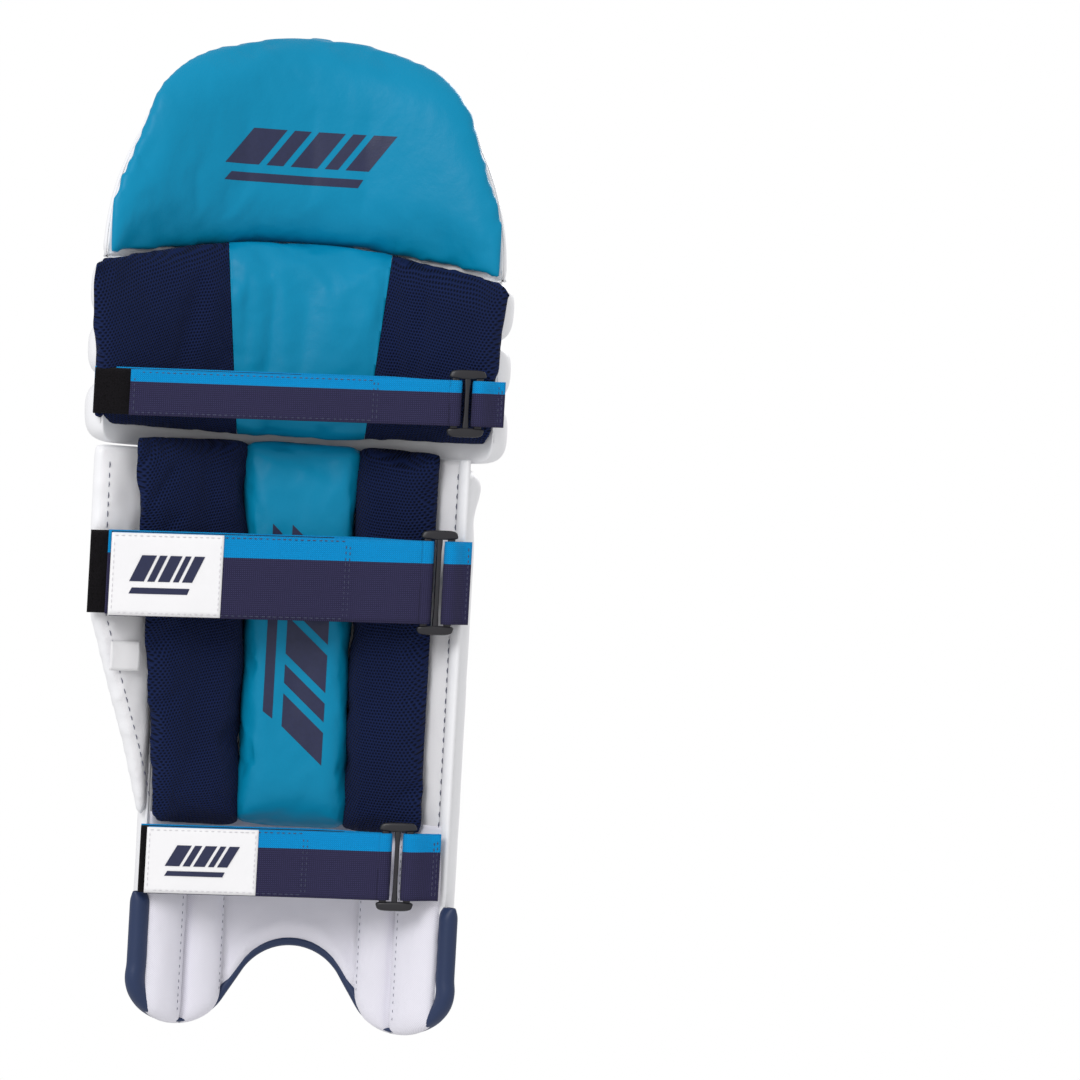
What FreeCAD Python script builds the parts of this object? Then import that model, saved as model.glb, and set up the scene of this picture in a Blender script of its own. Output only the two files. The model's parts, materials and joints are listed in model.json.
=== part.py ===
"""Cricket batting leg pad: the pad for one leg, as worn upright.

Frame: +Z is up the leg, -Y is the front that meets the ball, +Y is the leg side with the straps,
+X is the side that carries the wing. The origin is the bottom centre of the box round the pad.
Each run of the pad (shin, knee, top hat) bends round its own upright axis. All three bends share one
crest line, at x = AXIS_X and y = CREST_Y, which is where the front cover is sewn to the lining.
"""
import FreeCAD, Part
import math
import os
from FreeCAD import Vector

# ---- overall heights
TOTAL_HEIGHT = 740.0
TOP_HAT_SEAM = 570.0            # hinge seams of the knee, from the top down
KNEE_SEAM_UPPER = 523.0
KNEE_SEAM_LOWER = 479.0
SHIN_TOP = 432.0
HINGE_GAP = 5.0                 # open gap at each of those seams, so that the pad can bend there
HINGE_BEHIND_CREST = 57.0       # how far behind the crest line the knee bends

# ---- bends, each measured to the sewn surface
AXIS_X = -14.0
CREST_Y = -39.0
SHIN_RADIUS = 152.0
KNEE_RADIUS = 200.0
TOP_RADIUS = 200.0

# ---- materials
COVER = 1.5                     # thickness of the face leather
LINING = 1.4
NEST = 0.3                      # clearance between nested or neighbouring pieces

# ---- shin channels
CHANNELS = 7
SHIN_PITCH = 13.8               # degrees from seam to seam
SHIN_FIRST_SEAM = -50.0
CHANNEL_RISE = 24.0
CHANNEL_SHOULDER = 8.0
VALLEY = 1.2                    # width of the sewn flat between two channels
SHORT_CHANNELS = (3, 4, 5)      # these stop above the instep
INSTEP_TOP = 137.0
INSTEP_RISE = 14.0
CANE_RADIUS = 5.0
CANE_DEPTH = 12.0               # centre of a cane, in front of the sewn surface
CANE_END = 34.0                 # padding left below each cane
CANE_HEAD = 17.0                # and above it

# ---- foot of the shin, seen from the front: half widths and heights from the foot's centre line
FOOT_X = -17.5
FOOT_HALF = 119.0
BINDING_TOP = 98.0
LOBE_SIDE = (119.0, 42.0)
LOBE_CORNER = (109.0, 9.5)
LOBE_LOW = (84.0, 0.0)
LOBE_INNER = (64.0, 5.5)
LOBE_END = (51.0, 19.0)
ARCH_START = (40.0, 36.0)
ARCH_TOP = 60.0
BINDING_WIDTH = 6.5
BINDING_HALF_DEPTH = 6.0

# ---- wing: a flat panel that starts at the last seam of the shin
WING_EDGE = (147.0, 91.0)       # x, and y behind the crest line, of its outer edge
WING_THICK = 16.0
WING_START = 3.5
WING_SPLIT = 335.0
WING_NOTCH_HALF = 12.0
WING_FOOT = 4.0
WING_CURVE = ((24.0, 206.0), (44.0, 256.0))  # (from the hinge, height) where the lower edge bends
WING_BOTTOM = 154.0
WING_FULL_ABOVE = 303.0
WING_SEAM_NOTCH = 4.0
LABEL_REACH = 50.0              # from the hinge to the label's outer end
LABEL_LENGTH = 26.0
LABEL_WIDTH = 22.0
LABEL_HEIGHT = 274.0
LABEL_THICK = 0.8

# ---- knee
KNEE_HALF_WIDTH = 159.0
KNEE_EDGE_BACK = 97.0           # the rolls stop this far behind the crest line
ROLL_RISE = 38.0
ROLL_SHOULDER = 20.0
BOLSTER_HALF_WIDTH = 152.0
BOLSTER_BOTTOM = 444.0
BOLSTER_TOP_CENTRE = 584.0
BOLSTER_TOP_SIDE = 560.0
BOLSTER_FRONT_GAP = 6.0
BOLSTER_THICK = 34.0
BOLSTER_EDGE = 10.0             # thickness of its two ends
BOLSTER_LEAN = 25.0             # degrees that its top leans away from the rolls
BOLSTER_PANEL_HALF_TOP = 62.0
BOLSTER_PANEL_HALF_BOTTOM = 48.0
BOLSTER_PANEL_X = -3.0

# ---- top hat
TOP_PITCH = 10.8
TOP_FIRST_SEAM = -32.0
TOP_EDGES = (-42.0, 54.0)       # angles of the two edges
TOP_SIDE_RISE = 14.0
DOME_HALF = 148.0
DOME_DRAWN = 170.0              # dome height for which its outline points are given; they stretch with it
DOME_HIP = (137.0, 71.0)        # half width and height above the top hat's seam
DOME_SHOULDER = (126.0, 98.0)
DOME_CORNER = (107.0, 134.0)
DOME_TOP_CORNER = (80.0, 154.0)
TOP_PAD_THICK = 28.0
TOP_PAD_EDGE = 6.0
TOP_PAD_CLEAR = 8.0             # open gap above the knee bolster, for the flex of the knee

# ---- shin bolsters
BOLSTER_FOOT = 154.0
BOLSTER_HEAD = 428.0
CENTRE_ANGLES = (-14.0, 18.0)   # angles of the centre bolster's two sides
CENTRE_THICK = 35.0
SIDE_THICK = 32.0
INNER_BOLSTER_END = -39.0       # outer end of the bolster away from the wing
WING_BOLSTER_LEAVES = 34.0      # the wing-side bolster leaves the lining here and lies behind the wing
WING_BOLSTER_TIP = (111.0, 79.0)    # x, and y behind the crest line, of its outer end
WING_BOLSTER_TOP = 118.0        # x of its outer edge at its head, and at its foot
WING_BOLSTER_FOOT = 86.0
ANKLE_PAD_THICK = 11.0
ANKLE_PAD_TOP = 96.0

# ---- straps
WEB = 1.6
TURN = 4.4                      # middle radius of the webbing where it turns round a bar
BAR_RADIUS = 2.2
BAR_SPACING = 18.0
RING_END = 6.0
RING_ROUND = 4.2                # rounding of the ring's outer corners
KEEPER_JOIN = 9.0               # length of a keeper that is sewn flat
RING_CLEAR = 1.5
PATCH_LIFT = 0.25               # glue line under a hook or loop patch
PATCH_GAP = 0.3                 # between the two patches of a closed strap
PILE = TURN - WEB / 2 - PATCH_LIFT - PATCH_GAP / 2  # the patches fill the room between the layers
CREASE_GAP = 0.5
CREASE_FROM_BAR = 16.0
PATCH_INSET = 2.0
PRINT_LABEL = 1.2
#            z centre, width, A (x, y behind crest), K (x, y behind crest), bar x, tip end x, label length
STRAPS = {
    "knee": (472.0, 34.0, (152.0, 106.0), (-154.0, 71.5), -115.0, 126.0, 0.0),
    "calf": (338.0, 62.0, (143.5, 99.5), (-136.0, 62.0), -101.0, 133.0, 82.0),
    "ankle": (125.0, 50.0, (101.0, 57.0), (-126.0, 61.0), -83.0, 94.0, 82.0),
}
CALF_STRAP_START = 9.0          # the calf strap starts this far in, and its tail on the wing covers the gap
CALF_TAIL = 17.0
CALF_LOOP_START = 26.0
CALF_HOOK_START = 26.0
STRAP_START = 1.0
LOOP_LENGTH = 150.0
HOOK_LENGTH = 90.0
TALL = 900.0                    # longer than the pad, for cutting prisms


# ---- small geometry helpers
def at(base, radius, degrees, z=0.0):
    """A point at that radius and angle of the bend whose sewn surface has radius base."""
    a = math.radians(degrees)
    return Vector(AXIS_X + radius * math.sin(a), CREST_Y + base - radius * math.cos(a), z)


def line(a, b):
    return Part.makeLine(a, b)


def arc(a, middle, b):
    return Part.Arc(a, middle, b).toShape()


def face(edges):
    return Part.Face(Part.Wire(edges))


def lifted(flat, z0, z1):
    """A flat face drawn at z = 0, as a solid from z0 to z1."""
    flat = flat.copy()
    flat.translate(Vector(0, 0, z0))
    return flat.extrude(Vector(0, 0, z1 - z0))


def sector(base, r0, r1, a0, a1, z0, z1):
    """A piece of round wall about one of the bends."""
    middle = (a0 + a1) / 2
    edges = [
        arc(at(base, r0, a0), at(base, r0, middle), at(base, r0, a1)),
        line(at(base, r0, a1), at(base, r1, a1)),
        arc(at(base, r1, a1), at(base, r1, middle), at(base, r1, a0)),
        line(at(base, r1, a0), at(base, r0, a0)),
    ]
    return lifted(face(edges), z0, z1)


def channel_face(base, a0, a1, rise, shoulder, inset):
    """Section of a stuffed channel between two seams, drawn inset from its outer skin."""
    side = math.degrees((VALLEY / 2 + inset) / base)
    lo, hi, middle = a0 + side, a1 - side, (a0 + a1) / 2
    edges = [
        line(at(base, base, lo), at(base, base + shoulder, lo)),
        arc(at(base, base + shoulder, lo), at(base, base + rise - inset, middle),
            at(base, base + shoulder, hi)),
        line(at(base, base + shoulder, hi), at(base, base, hi)),
        arc(at(base, base, hi), at(base, base, middle), at(base, base, lo)),
    ]
    return face(edges)


def front_prism(edges):
    """A closed outline drawn in XZ, as a prism right through the pad from front to back."""
    flat = face(edges)
    flat.translate(Vector(0, -TALL / 2, 0))
    return flat.extrude(Vector(0, TALL, 0))


def group(shapes):
    return Part.makeCompound([s for shape in shapes for s in shape.Solids])


def fused(shapes):
    joined = shapes[0].multiFuse(shapes[1:]) if len(shapes) > 1 else shapes[0]
    return joined.removeSplitter()


# ---- outlines seen from the front
def foot_point(half, z, side):
    return Vector(FOOT_X + side * half, 0, z)


def foot_outline(inset=0.0):
    """The shin's outline from the front: two lobes and the arch over the instep, drawn inset."""
    def half_edges(side):
        top = foot_point(FOOT_HALF, SHIN_TOP, side)
        hip = foot_point(*LOBE_SIDE, side)
        low = foot_point(*LOBE_LOW, side)
        end = foot_point(*LOBE_END, side)
        arch = foot_point(*ARCH_START, side)
        return [
            line(top, hip),
            arc(hip, foot_point(*LOBE_CORNER, side), low),
            arc(low, foot_point(*LOBE_INNER, side), end),
            line(end, arch),
        ]
    left, right = half_edges(-1), half_edges(1)
    crown = arc(foot_point(*ARCH_START, -1), Vector(FOOT_X, 0, ARCH_TOP), foot_point(*ARCH_START, 1))
    across = line(foot_point(FOOT_HALF, SHIN_TOP, 1), foot_point(FOOT_HALF, SHIN_TOP, -1))
    wire = Part.Wire(left + [crown] + right[::-1] + [across])
    if inset:
        wire = wire.makeOffset2D(-inset)
    return wire.Edges


def dome_outline(inset=0.0):
    """The top hat's outline from the front, a broad dome."""
    z0 = TOP_HAT_SEAM + HINGE_GAP / 2

    stretch = (TOTAL_HEIGHT - TOP_HAT_SEAM) / DOME_DRAWN

    def p(half, height, side):
        return Vector(side * half, 0, TOP_HAT_SEAM + height * stretch)

    base = [Vector(-DOME_HALF, 0, z0), Vector(DOME_HALF, 0, z0)]
    edges = [line(base[0], base[1])]
    edges.append(arc(base[1], p(*DOME_HIP, 1), p(*DOME_SHOULDER, 1)))
    edges.append(arc(p(*DOME_SHOULDER, 1), p(*DOME_CORNER, 1), p(*DOME_TOP_CORNER, 1)))
    edges.append(arc(p(*DOME_TOP_CORNER, 1), Vector(0, 0, TOTAL_HEIGHT), p(*DOME_TOP_CORNER, -1)))
    edges.append(arc(p(*DOME_TOP_CORNER, -1), p(*DOME_CORNER, -1), p(*DOME_SHOULDER, -1)))
    edges.append(arc(p(*DOME_SHOULDER, -1), p(*DOME_HIP, -1), base[0]))
    wire = Part.Wire(edges)
    if inset:
        wire = wire.makeOffset2D(-inset)
    return wire.Edges


def box_outline(corners):
    """Closed outline through corners given as (x, z)."""
    corners = [Vector(x, 0, z) for x, z in corners]
    return [line(p, q) for p, q in zip(corners, corners[1:] + corners[:1])]


def bolster_top(raised=0.0):
    """The arched top edge of the knee bolster, from the +X side to the -X side."""
    w = KNEE_HALF_WIDTH
    side = BOLSTER_TOP_SIDE + raised
    crown = Vector(BOLSTER_PANEL_X, 0, BOLSTER_TOP_CENTRE + raised)
    return arc(Vector(w, 0, side), crown, Vector(-w, 0, side))


def inside_binding(depth):
    """What the shin's outline and its binding leave, for a layer that lies that deep within the cover."""
    above = Part.makeBox(TALL, TALL, TALL, Vector(-TALL / 2, -TALL / 2, BINDING_TOP + NEST + depth))
    return front_prism(foot_outline(BINDING_WIDTH + NEST + depth)).fuse(above)


# ---- shin
def seam(k):
    return SHIN_FIRST_SEAM + SHIN_PITCH * k


def shin_parts():
    """Face cover, the padding and cane of each channel, the instep, the lining and the binding."""
    parts = {}
    top = SHIN_TOP - HINGE_GAP / 2
    inside = inside_binding(0)
    hollow_room = inside_binding(COVER)
    stuffed = inside_binding(COVER + NEST)
    skins, hollows, canes = [], [], []
    for k in range(1, CHANNELS + 1):
        a0, a1 = seam(k - 1), seam(k)
        bottom = INSTEP_TOP if k in SHORT_CHANNELS else 0.0
        outer = channel_face(SHIN_RADIUS, a0, a1, CHANNEL_RISE, CHANNEL_SHOULDER, 0)
        skins.append(lifted(outer, bottom, top))
        hollow = channel_face(SHIN_RADIUS, a0, a1, CHANNEL_RISE, CHANNEL_SHOULDER, COVER)
        hollows.append(lifted(hollow, bottom + COVER, top - COVER))
        filling = channel_face(SHIN_RADIUS, a0, a1, CHANNEL_RISE, CHANNEL_SHOULDER, COVER + NEST)
        filling = lifted(filling, bottom + COVER + NEST, top - COVER - NEST).common(stuffed)
        foot = max(bottom, BINDING_TOP) + CANE_END
        spot = at(SHIN_RADIUS, SHIN_RADIUS + CANE_DEPTH, (a0 + a1) / 2, foot)
        room = filling.BoundBox.ZMax - CANE_HEAD - foot
        parts[f"shin_filling_{k}"] = filling.cut(Part.makeCylinder(CANE_RADIUS + NEST, room, spot))
        spot.z += NEST
        canes.append(Part.makeCylinder(CANE_RADIUS, room - 2 * NEST, spot))
    parts["canes"] = group(canes)
    flange = sector(SHIN_RADIUS, SHIN_RADIUS, SHIN_RADIUS + COVER, seam(0), seam(CHANNELS), INSTEP_TOP, top)
    skin = fused(skins + [flange]).common(inside)
    parts["shin_face_cover"] = skin.cut(Part.makeCompound([h.common(hollow_room) for h in hollows]))

    a0, a1 = seam(min(SHORT_CHANNELS) - 1), seam(max(SHORT_CHANNELS))
    side = math.degrees((VALLEY / 2 + NEST) / SHIN_RADIUS)
    r1 = SHIN_RADIUS + INSTEP_RISE
    pad = sector(SHIN_RADIUS, SHIN_RADIUS, r1, a0 + side, a1 - side, 0, INSTEP_TOP - NEST)
    sheet = sector(SHIN_RADIUS, r1 + NEST, r1 + NEST + COVER, a0 + side, a1 - side, 0, INSTEP_TOP - NEST)
    parts["instep_filling"] = pad.common(inside)
    parts["instep_cover"] = sheet.common(inside)
    r0 = SHIN_RADIUS - LINING - NEST
    lining = sector(SHIN_RADIUS, r0, r0 + LINING, seam(0), seam(CHANNELS), 0, top)
    parts["shin_lining"] = lining.common(inside)

    ring = front_prism(foot_outline()).cut(front_prism(foot_outline(BINDING_WIDTH)))
    r0, r1 = SHIN_RADIUS - BINDING_HALF_DEPTH, SHIN_RADIUS + BINDING_HALF_DEPTH
    reach = SHIN_PITCH
    wall = sector(SHIN_RADIUS, r0, r1, seam(0) - reach, seam(CHANNELS) + reach, -1, BINDING_TOP)
    parts["bottom_binding"] = ring.common(wall)
    return parts


def bolster_parts():
    """The three upright bolsters behind the shin, and the padding behind the ankle channels."""
    parts = {}
    r1 = SHIN_RADIUS - LINING - 2 * NEST
    base = SHIN_RADIUS
    low, high = CENTRE_ANGLES
    parts["shin_bolster_centre"] = sector(base, r1 - CENTRE_THICK, r1, low, high, BOLSTER_FOOT, BOLSTER_HEAD)

    r0 = r1 - SIDE_THICK
    apart = math.degrees(NEST / (r1 - CENTRE_THICK))
    near, far = low - apart, INNER_BOLSTER_END
    middle = (near + far) / 2
    edges = [
        arc(at(base, r1, near), at(base, r1, middle), at(base, r1, far)),
        line(at(base, r1, far), at(base, r1 - BOLSTER_EDGE, far)),
        arc(at(base, r1 - BOLSTER_EDGE, far), at(base, r0 + BOLSTER_EDGE / 3, middle), at(base, r0, near)),
        line(at(base, r0, near), at(base, r1, near)),
    ]
    parts["shin_bolster_inner"] = lifted(face(edges), BOLSTER_FOOT, BOLSTER_HEAD)

    near, leave = high + apart, WING_BOLSTER_LEAVES
    tip_front = Vector(WING_BOLSTER_TIP[0], CREST_Y + WING_BOLSTER_TIP[1], 0)
    tip_back = tip_front + Vector(-BOLSTER_EDGE / 4, BOLSTER_EDGE, 0)
    edges = [
        arc(at(base, r1, near), at(base, r1, (near + leave) / 2), at(base, r1, leave)),
        line(at(base, r1, leave), tip_front),
        line(tip_front, tip_back),
        arc(tip_back, at(base, r0, leave), at(base, r0, near)),
        line(at(base, r0, near), at(base, r1, near)),
    ]
    block = lifted(face(edges), BOLSTER_FOOT, BOLSTER_HEAD)
    corners = [(0, BOLSTER_HEAD), (WING_BOLSTER_TOP, BOLSTER_HEAD), (WING_BOLSTER_FOOT, BOLSTER_FOOT),
               (0, BOLSTER_FOOT)]
    taper = front_prism(box_outline(corners))
    parts["shin_bolster_wing_side"] = block.common(taper)

    inside = inside_binding(0)
    side = math.degrees(NEST / base)
    pads = []
    for k in (1, 2, 6, 7):
        a0, a1 = seam(k - 1) + side, seam(k) - side
        pads.append(sector(base, r1 - ANKLE_PAD_THICK, r1, a0, a1, 0, ANKLE_PAD_TOP).common(inside))
    parts["ankle_padding"] = group(pads)
    return parts


# ---- wing
def wing_frame():
    """Hinge point of the wing, the direction out along it, and the direction of its leg side."""
    hinge = at(SHIN_RADIUS, SHIN_RADIUS, seam(CHANNELS))
    out = Vector(WING_EDGE[0], CREST_Y + WING_EDGE[1], 0) - hinge
    width = out.Length
    out.normalize()
    return hinge, out, Vector(-out.y, out.x, 0), width


def wing_panel(outline):
    """A padded panel of the wing, from its outline as (distance from the hinge, height) corners."""
    hinge, out, leg_side, _ = wing_frame()
    corners = [hinge + out * s + Vector(0, 0, z) - leg_side * (WING_THICK / 2) for s, z in outline]
    flat = face([line(p, q) for p, q in zip(corners, corners[1:] + corners[:1])])
    return flat.extrude(leg_side * WING_THICK)


def wing_parts():
    hinge, out, leg_side, width = wing_frame()
    top = SHIN_TOP - HINGE_GAP / 2
    notch = width - WING_SEAM_NOTCH
    upper = [(WING_START, WING_SPLIT + NEST), (notch, WING_SPLIT + NEST), (width, WING_SPLIT + WING_NOTCH_HALF),
             (width, top), (WING_START, top)]
    lower = [(WING_START, WING_BOTTOM), (WING_START + WING_FOOT, WING_BOTTOM), *WING_CURVE,
             (width, WING_FULL_ABOVE), (width, WING_SPLIT - WING_NOTCH_HALF), (notch, WING_SPLIT - NEST),
             (WING_START, WING_SPLIT - NEST)]
    parts = {"wing_upper": wing_panel(upper), "wing_lower": wing_panel(lower)}
    corner = hinge + out * LABEL_REACH + leg_side * (WING_THICK / 2 + NEST)
    label = Part.makeBox(LABEL_LENGTH, LABEL_THICK, LABEL_WIDTH)
    turn = math.degrees(math.atan2(-out.y, -out.x))
    label.translate(Vector(0, -LABEL_THICK, -LABEL_WIDTH / 2))
    label.rotate(Vector(), Vector(0, 0, 1), turn)
    label.translate(corner + Vector(0, 0, LABEL_HEIGHT))
    parts["care_label"] = label
    return parts


# ---- knee
def roll_face(z0, z1, inset):
    """Section of a knee roll in the XZ half plane, at the bend's own radius, before it is revolved."""
    lo, hi, middle = z0 + HINGE_GAP / 2 + inset, z1 - HINGE_GAP / 2 - inset, (z0 + z1) / 2
    r0 = KNEE_RADIUS + inset
    tip = KNEE_RADIUS + ROLL_RISE - inset
    shoulder = max(KNEE_RADIUS + ROLL_SHOULDER, tip - (hi - lo) / 2)
    edges = [
        line(Vector(r0, 0, hi), Vector(r0, 0, lo)),
        line(Vector(r0, 0, lo), Vector(shoulder, 0, lo)),
        arc(Vector(shoulder, 0, lo), Vector(tip, 0, middle), Vector(shoulder, 0, hi)),
        line(Vector(shoulder, 0, hi), Vector(r0, 0, hi)),
    ]
    return face(edges)


def revolved_roll(z0, z1, inset):
    half = KNEE_HALF_WIDTH - inset
    turned = roll_face(z0, z1, inset).revolve(Vector(), Vector(0, 0, 1), 180)
    turned.rotate(Vector(), Vector(0, 0, 1), 180)
    turned.translate(Vector(AXIS_X, CREST_Y + KNEE_RADIUS, 0))
    room = Part.makeBox(2 * half, KNEE_RADIUS, TALL, Vector(-half, CREST_Y - ROLL_RISE - 10, 0))
    back = Part.makeBox(4 * half, KNEE_RADIUS, TALL, Vector(-2 * half, CREST_Y + KNEE_EDGE_BACK - inset, 0))
    return turned.common(room).cut(back)


def knee_parts():
    """Three rolls across the front, each a cover round a filling, and the cross bolster behind them."""
    parts = {}
    seams = (SHIN_TOP, KNEE_SEAM_LOWER, KNEE_SEAM_UPPER, TOP_HAT_SEAM)
    for name, z0, z1 in zip(("lower", "middle", "upper"), seams, seams[1:]):
        parts[f"knee_roll_{name}_cover"] = revolved_roll(z0, z1, 0).cut(revolved_roll(z0, z1, COVER))
        parts[f"knee_roll_{name}_filling"] = revolved_roll(z0, z1, COVER + NEST)

    base, r = KNEE_RADIUS, KNEE_RADIUS - BOLSTER_FRONT_GAP
    reach = BOLSTER_HALF_WIDTH - 4
    left = -math.degrees(math.asin((reach + AXIS_X) / r))
    right = math.degrees(math.asin((reach - AXIS_X) / r))
    p0, p1 = at(base, r, left), at(base, r, right)
    back0 = p0 + Vector(0, BOLSTER_EDGE, 0)
    back1 = p1 + Vector(0, BOLSTER_EDGE, 0)
    crown = Vector(AXIS_X, CREST_Y + BOLSTER_FRONT_GAP + BOLSTER_THICK, 0)
    front = arc(p0, at(base, r, (left + right) / 2), p1)
    plan = face([front, line(p1, back1), arc(back1, crown, back0), line(back0, p0)])
    block = lifted(plan, BOLSTER_BOTTOM, BOLSTER_TOP_CENTRE)
    w = KNEE_HALF_WIDTH
    outline = [
        line(Vector(-w, 0, BOLSTER_BOTTOM), Vector(w, 0, BOLSTER_BOTTOM)),
        line(Vector(w, 0, BOLSTER_BOTTOM), Vector(w, 0, BOLSTER_TOP_SIDE)),
        bolster_top(),
        line(Vector(-w, 0, BOLSTER_TOP_SIDE), Vector(-w, 0, BOLSTER_BOTTOM)),
    ]
    block = block.common(front_prism(outline))
    lean = Part.makeBox(4 * w, 60, 120, Vector(-2 * w, -60, 0))
    lean.rotate(Vector(), Vector(1, 0, 0), -BOLSTER_LEAN)
    lean.translate(Vector(0, CREST_Y + BOLSTER_FRONT_GAP, KNEE_SEAM_UPPER + 20))
    block = block.cut(lean)

    def panel(x_top0, x_top1, x_low0, x_low1):
        low, high = BOLSTER_BOTTOM, BOLSTER_TOP_CENTRE
        corners = [(x_low0, low), (x_low1, low), (x_top1, high), (x_top0, high)]
        return block.common(front_prism(box_outline(corners)))

    t0, t1 = BOLSTER_PANEL_X - BOLSTER_PANEL_HALF_TOP, BOLSTER_PANEL_X + BOLSTER_PANEL_HALF_TOP
    b0, b1 = BOLSTER_PANEL_X - BOLSTER_PANEL_HALF_BOTTOM, BOLSTER_PANEL_X + BOLSTER_PANEL_HALF_BOTTOM
    g = NEST / 2
    parts["knee_bolster_centre"] = panel(t0 + g, t1 - g, b0 + g, b1 - g)
    parts["knee_bolster_inner"] = panel(-w, t0 - g, -w, b0 - g)
    parts["knee_bolster_wing_side"] = panel(t1 + g, w, b1 + g, w)
    return parts


# ---- top hat
def top_hat_parts():
    """The dome above the knee: channels and a side panel in one cover, a lining, and the thigh pad."""
    base = TOP_RADIUS
    z0, z1 = TOP_HAT_SEAM + HINGE_GAP / 2, TOTAL_HEIGHT + 1
    dome = front_prism(dome_outline())
    inner = front_prism(dome_outline(COVER))
    stuffed = front_prism(dome_outline(COVER + NEST))
    angles = [TOP_EDGES[0]] + [TOP_FIRST_SEAM + TOP_PITCH * k for k in range(CHANNELS)] + [TOP_EDGES[1]]
    skins, hollows, fillings = [], [], []
    for k, (a0, a1) in enumerate(zip(angles, angles[1:])):
        side_panel = k == CHANNELS
        rise = TOP_SIDE_RISE if side_panel else CHANNEL_RISE
        shoulder = CHANNEL_SHOULDER * rise / CHANNEL_RISE
        skins.append(lifted(channel_face(base, a0, a1, rise, shoulder, 0), z0, z1))
        hollows.append(lifted(channel_face(base, a0, a1, rise, shoulder, COVER), z0 + COVER, z1))
        filling = lifted(channel_face(base, a0, a1, rise, shoulder, COVER + NEST), z0 + COVER + NEST, z1)
        fillings.append(filling.common(stuffed))
    flange = sector(base, base, base + COVER, angles[0], angles[-1], z0, z1)
    skin = fused(skins + [flange]).common(dome)
    hollow = Part.makeCompound([h.common(inner) for h in hollows])
    parts = {"top_hat_face_cover": skin.cut(hollow)}
    parts["top_hat_filling"] = group(fillings[:CHANNELS])
    parts["top_hat_side_filling"] = fillings[CHANNELS]
    r1 = base - NEST
    parts["top_hat_lining"] = sector(base, r1 - LINING, r1, angles[0], angles[-1], z0, z1).common(dome)

    r = base - LINING - 2 * NEST
    left, right = angles[0] + 1, angles[-1] - 1
    p0, p1 = at(base, r, left), at(base, r, right)
    back0, back1 = p0 + Vector(0, TOP_PAD_EDGE, 0), p1 + Vector(0, TOP_PAD_EDGE, 0)
    crown = Vector(AXIS_X, CREST_Y + LINING + 2 * NEST + TOP_PAD_THICK, 0)
    front = arc(p0, at(base, r, (left + right) / 2), p1)
    plan = face([front, line(p1, back1), arc(back1, crown, back0), line(back0, p0)])
    block = lifted(plan, z0, z1).common(dome)
    w, top = KNEE_HALF_WIDTH, TOTAL_HEIGHT + 1
    above = [
        line(Vector(-w, 0, top), Vector(w, 0, top)),
        line(Vector(w, 0, top), Vector(w, 0, BOLSTER_TOP_SIDE + TOP_PAD_CLEAR)),
        bolster_top(TOP_PAD_CLEAR),
        line(Vector(-w, 0, BOLSTER_TOP_SIDE + TOP_PAD_CLEAR), Vector(-w, 0, top)),
    ]
    parts["top_hat_pad"] = block.common(front_prism(above))
    return parts


# ---- straps, drawn in their own frame: u along the strap from the sewn end, n away from the leg
def strap_frame(a, k):
    """Length from A to K, and a function that puts a shape drawn in (u, n) into the pad's frame."""
    start = Vector(a[0], CREST_Y + a[1], 0)
    end = Vector(k[0], CREST_Y + k[1], 0)
    run = end - start
    turn = math.degrees(math.atan2(run.y, run.x))

    def place(shape, z):
        shape = shape.copy()
        shape.rotate(Vector(), Vector(0, 0, 1), turn)
        shape.translate(start + Vector(0, 0, z))
        return shape

    return run.Length, place


def plate(u0, u1, n0, n1, width):
    """A flat layer of a strap. Away from the leg is -n of the turned frame, so n is drawn downwards."""
    return Part.makeBox(u1 - u0, n1 - n0, width, Vector(u0, -n1, -width / 2))


def flat(points):
    return [Vector(u, -n, 0) for u, n in points]


def turned_strap(u0, bar_u, u_crease, width):
    """Webbing from its sewn end round the ring's bar and back to the crease where the tip starts."""
    outer, inner = TURN + WEB / 2, TURN - WEB / 2
    centre_n = WEB / 2 + TURN
    top = 2 * TURN + WEB
    o = flat([(u0, 0), (bar_u, 0), (bar_u + outer, centre_n), (bar_u, top), (u_crease, top)])
    i = flat([(u_crease, 2 * TURN), (bar_u, 2 * TURN), (bar_u + inner, centre_n), (bar_u, WEB), (u0, WEB)])
    edges = [line(o[0], o[1]), arc(o[1], o[2], o[3]), line(o[3], o[4]), line(o[4], i[0]), line(i[0], i[1]),
             arc(i[1], i[2], i[3]), line(i[3], i[4]), line(i[4], o[0])]
    return lifted(face(edges), -width / 2, width / 2)


def keeper_loop(bar_u, end_u, width):
    """Short webbing sewn to the pad's edge and doubled round the ring's other bar."""
    outer, inner = TURN + WEB / 2, TURN - WEB / 2
    centre_n = WEB / 2 + TURN
    join_u = end_u - KEEPER_JOIN
    o = flat([(end_u, 0), (bar_u, 0), (bar_u - outer, centre_n), (bar_u, 2 * TURN + WEB),
              (join_u, 2 * WEB), (end_u, 2 * WEB)])
    straights = [line(o[0], o[1]), line(o[3], o[4]), line(o[4], o[5]), line(o[5], o[0])]
    skin = face(straights[:1] + [arc(o[1], o[2], o[3])] + straights[1:])
    i = flat([(join_u - 2, WEB), (bar_u, WEB), (bar_u - inner, centre_n), (bar_u, 2 * TURN)])
    eye = face([line(i[0], i[1]), arc(i[1], i[2], i[3]), line(i[3], i[0])])
    return lifted(skin.cut(eye), -width / 2, width / 2)


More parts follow.
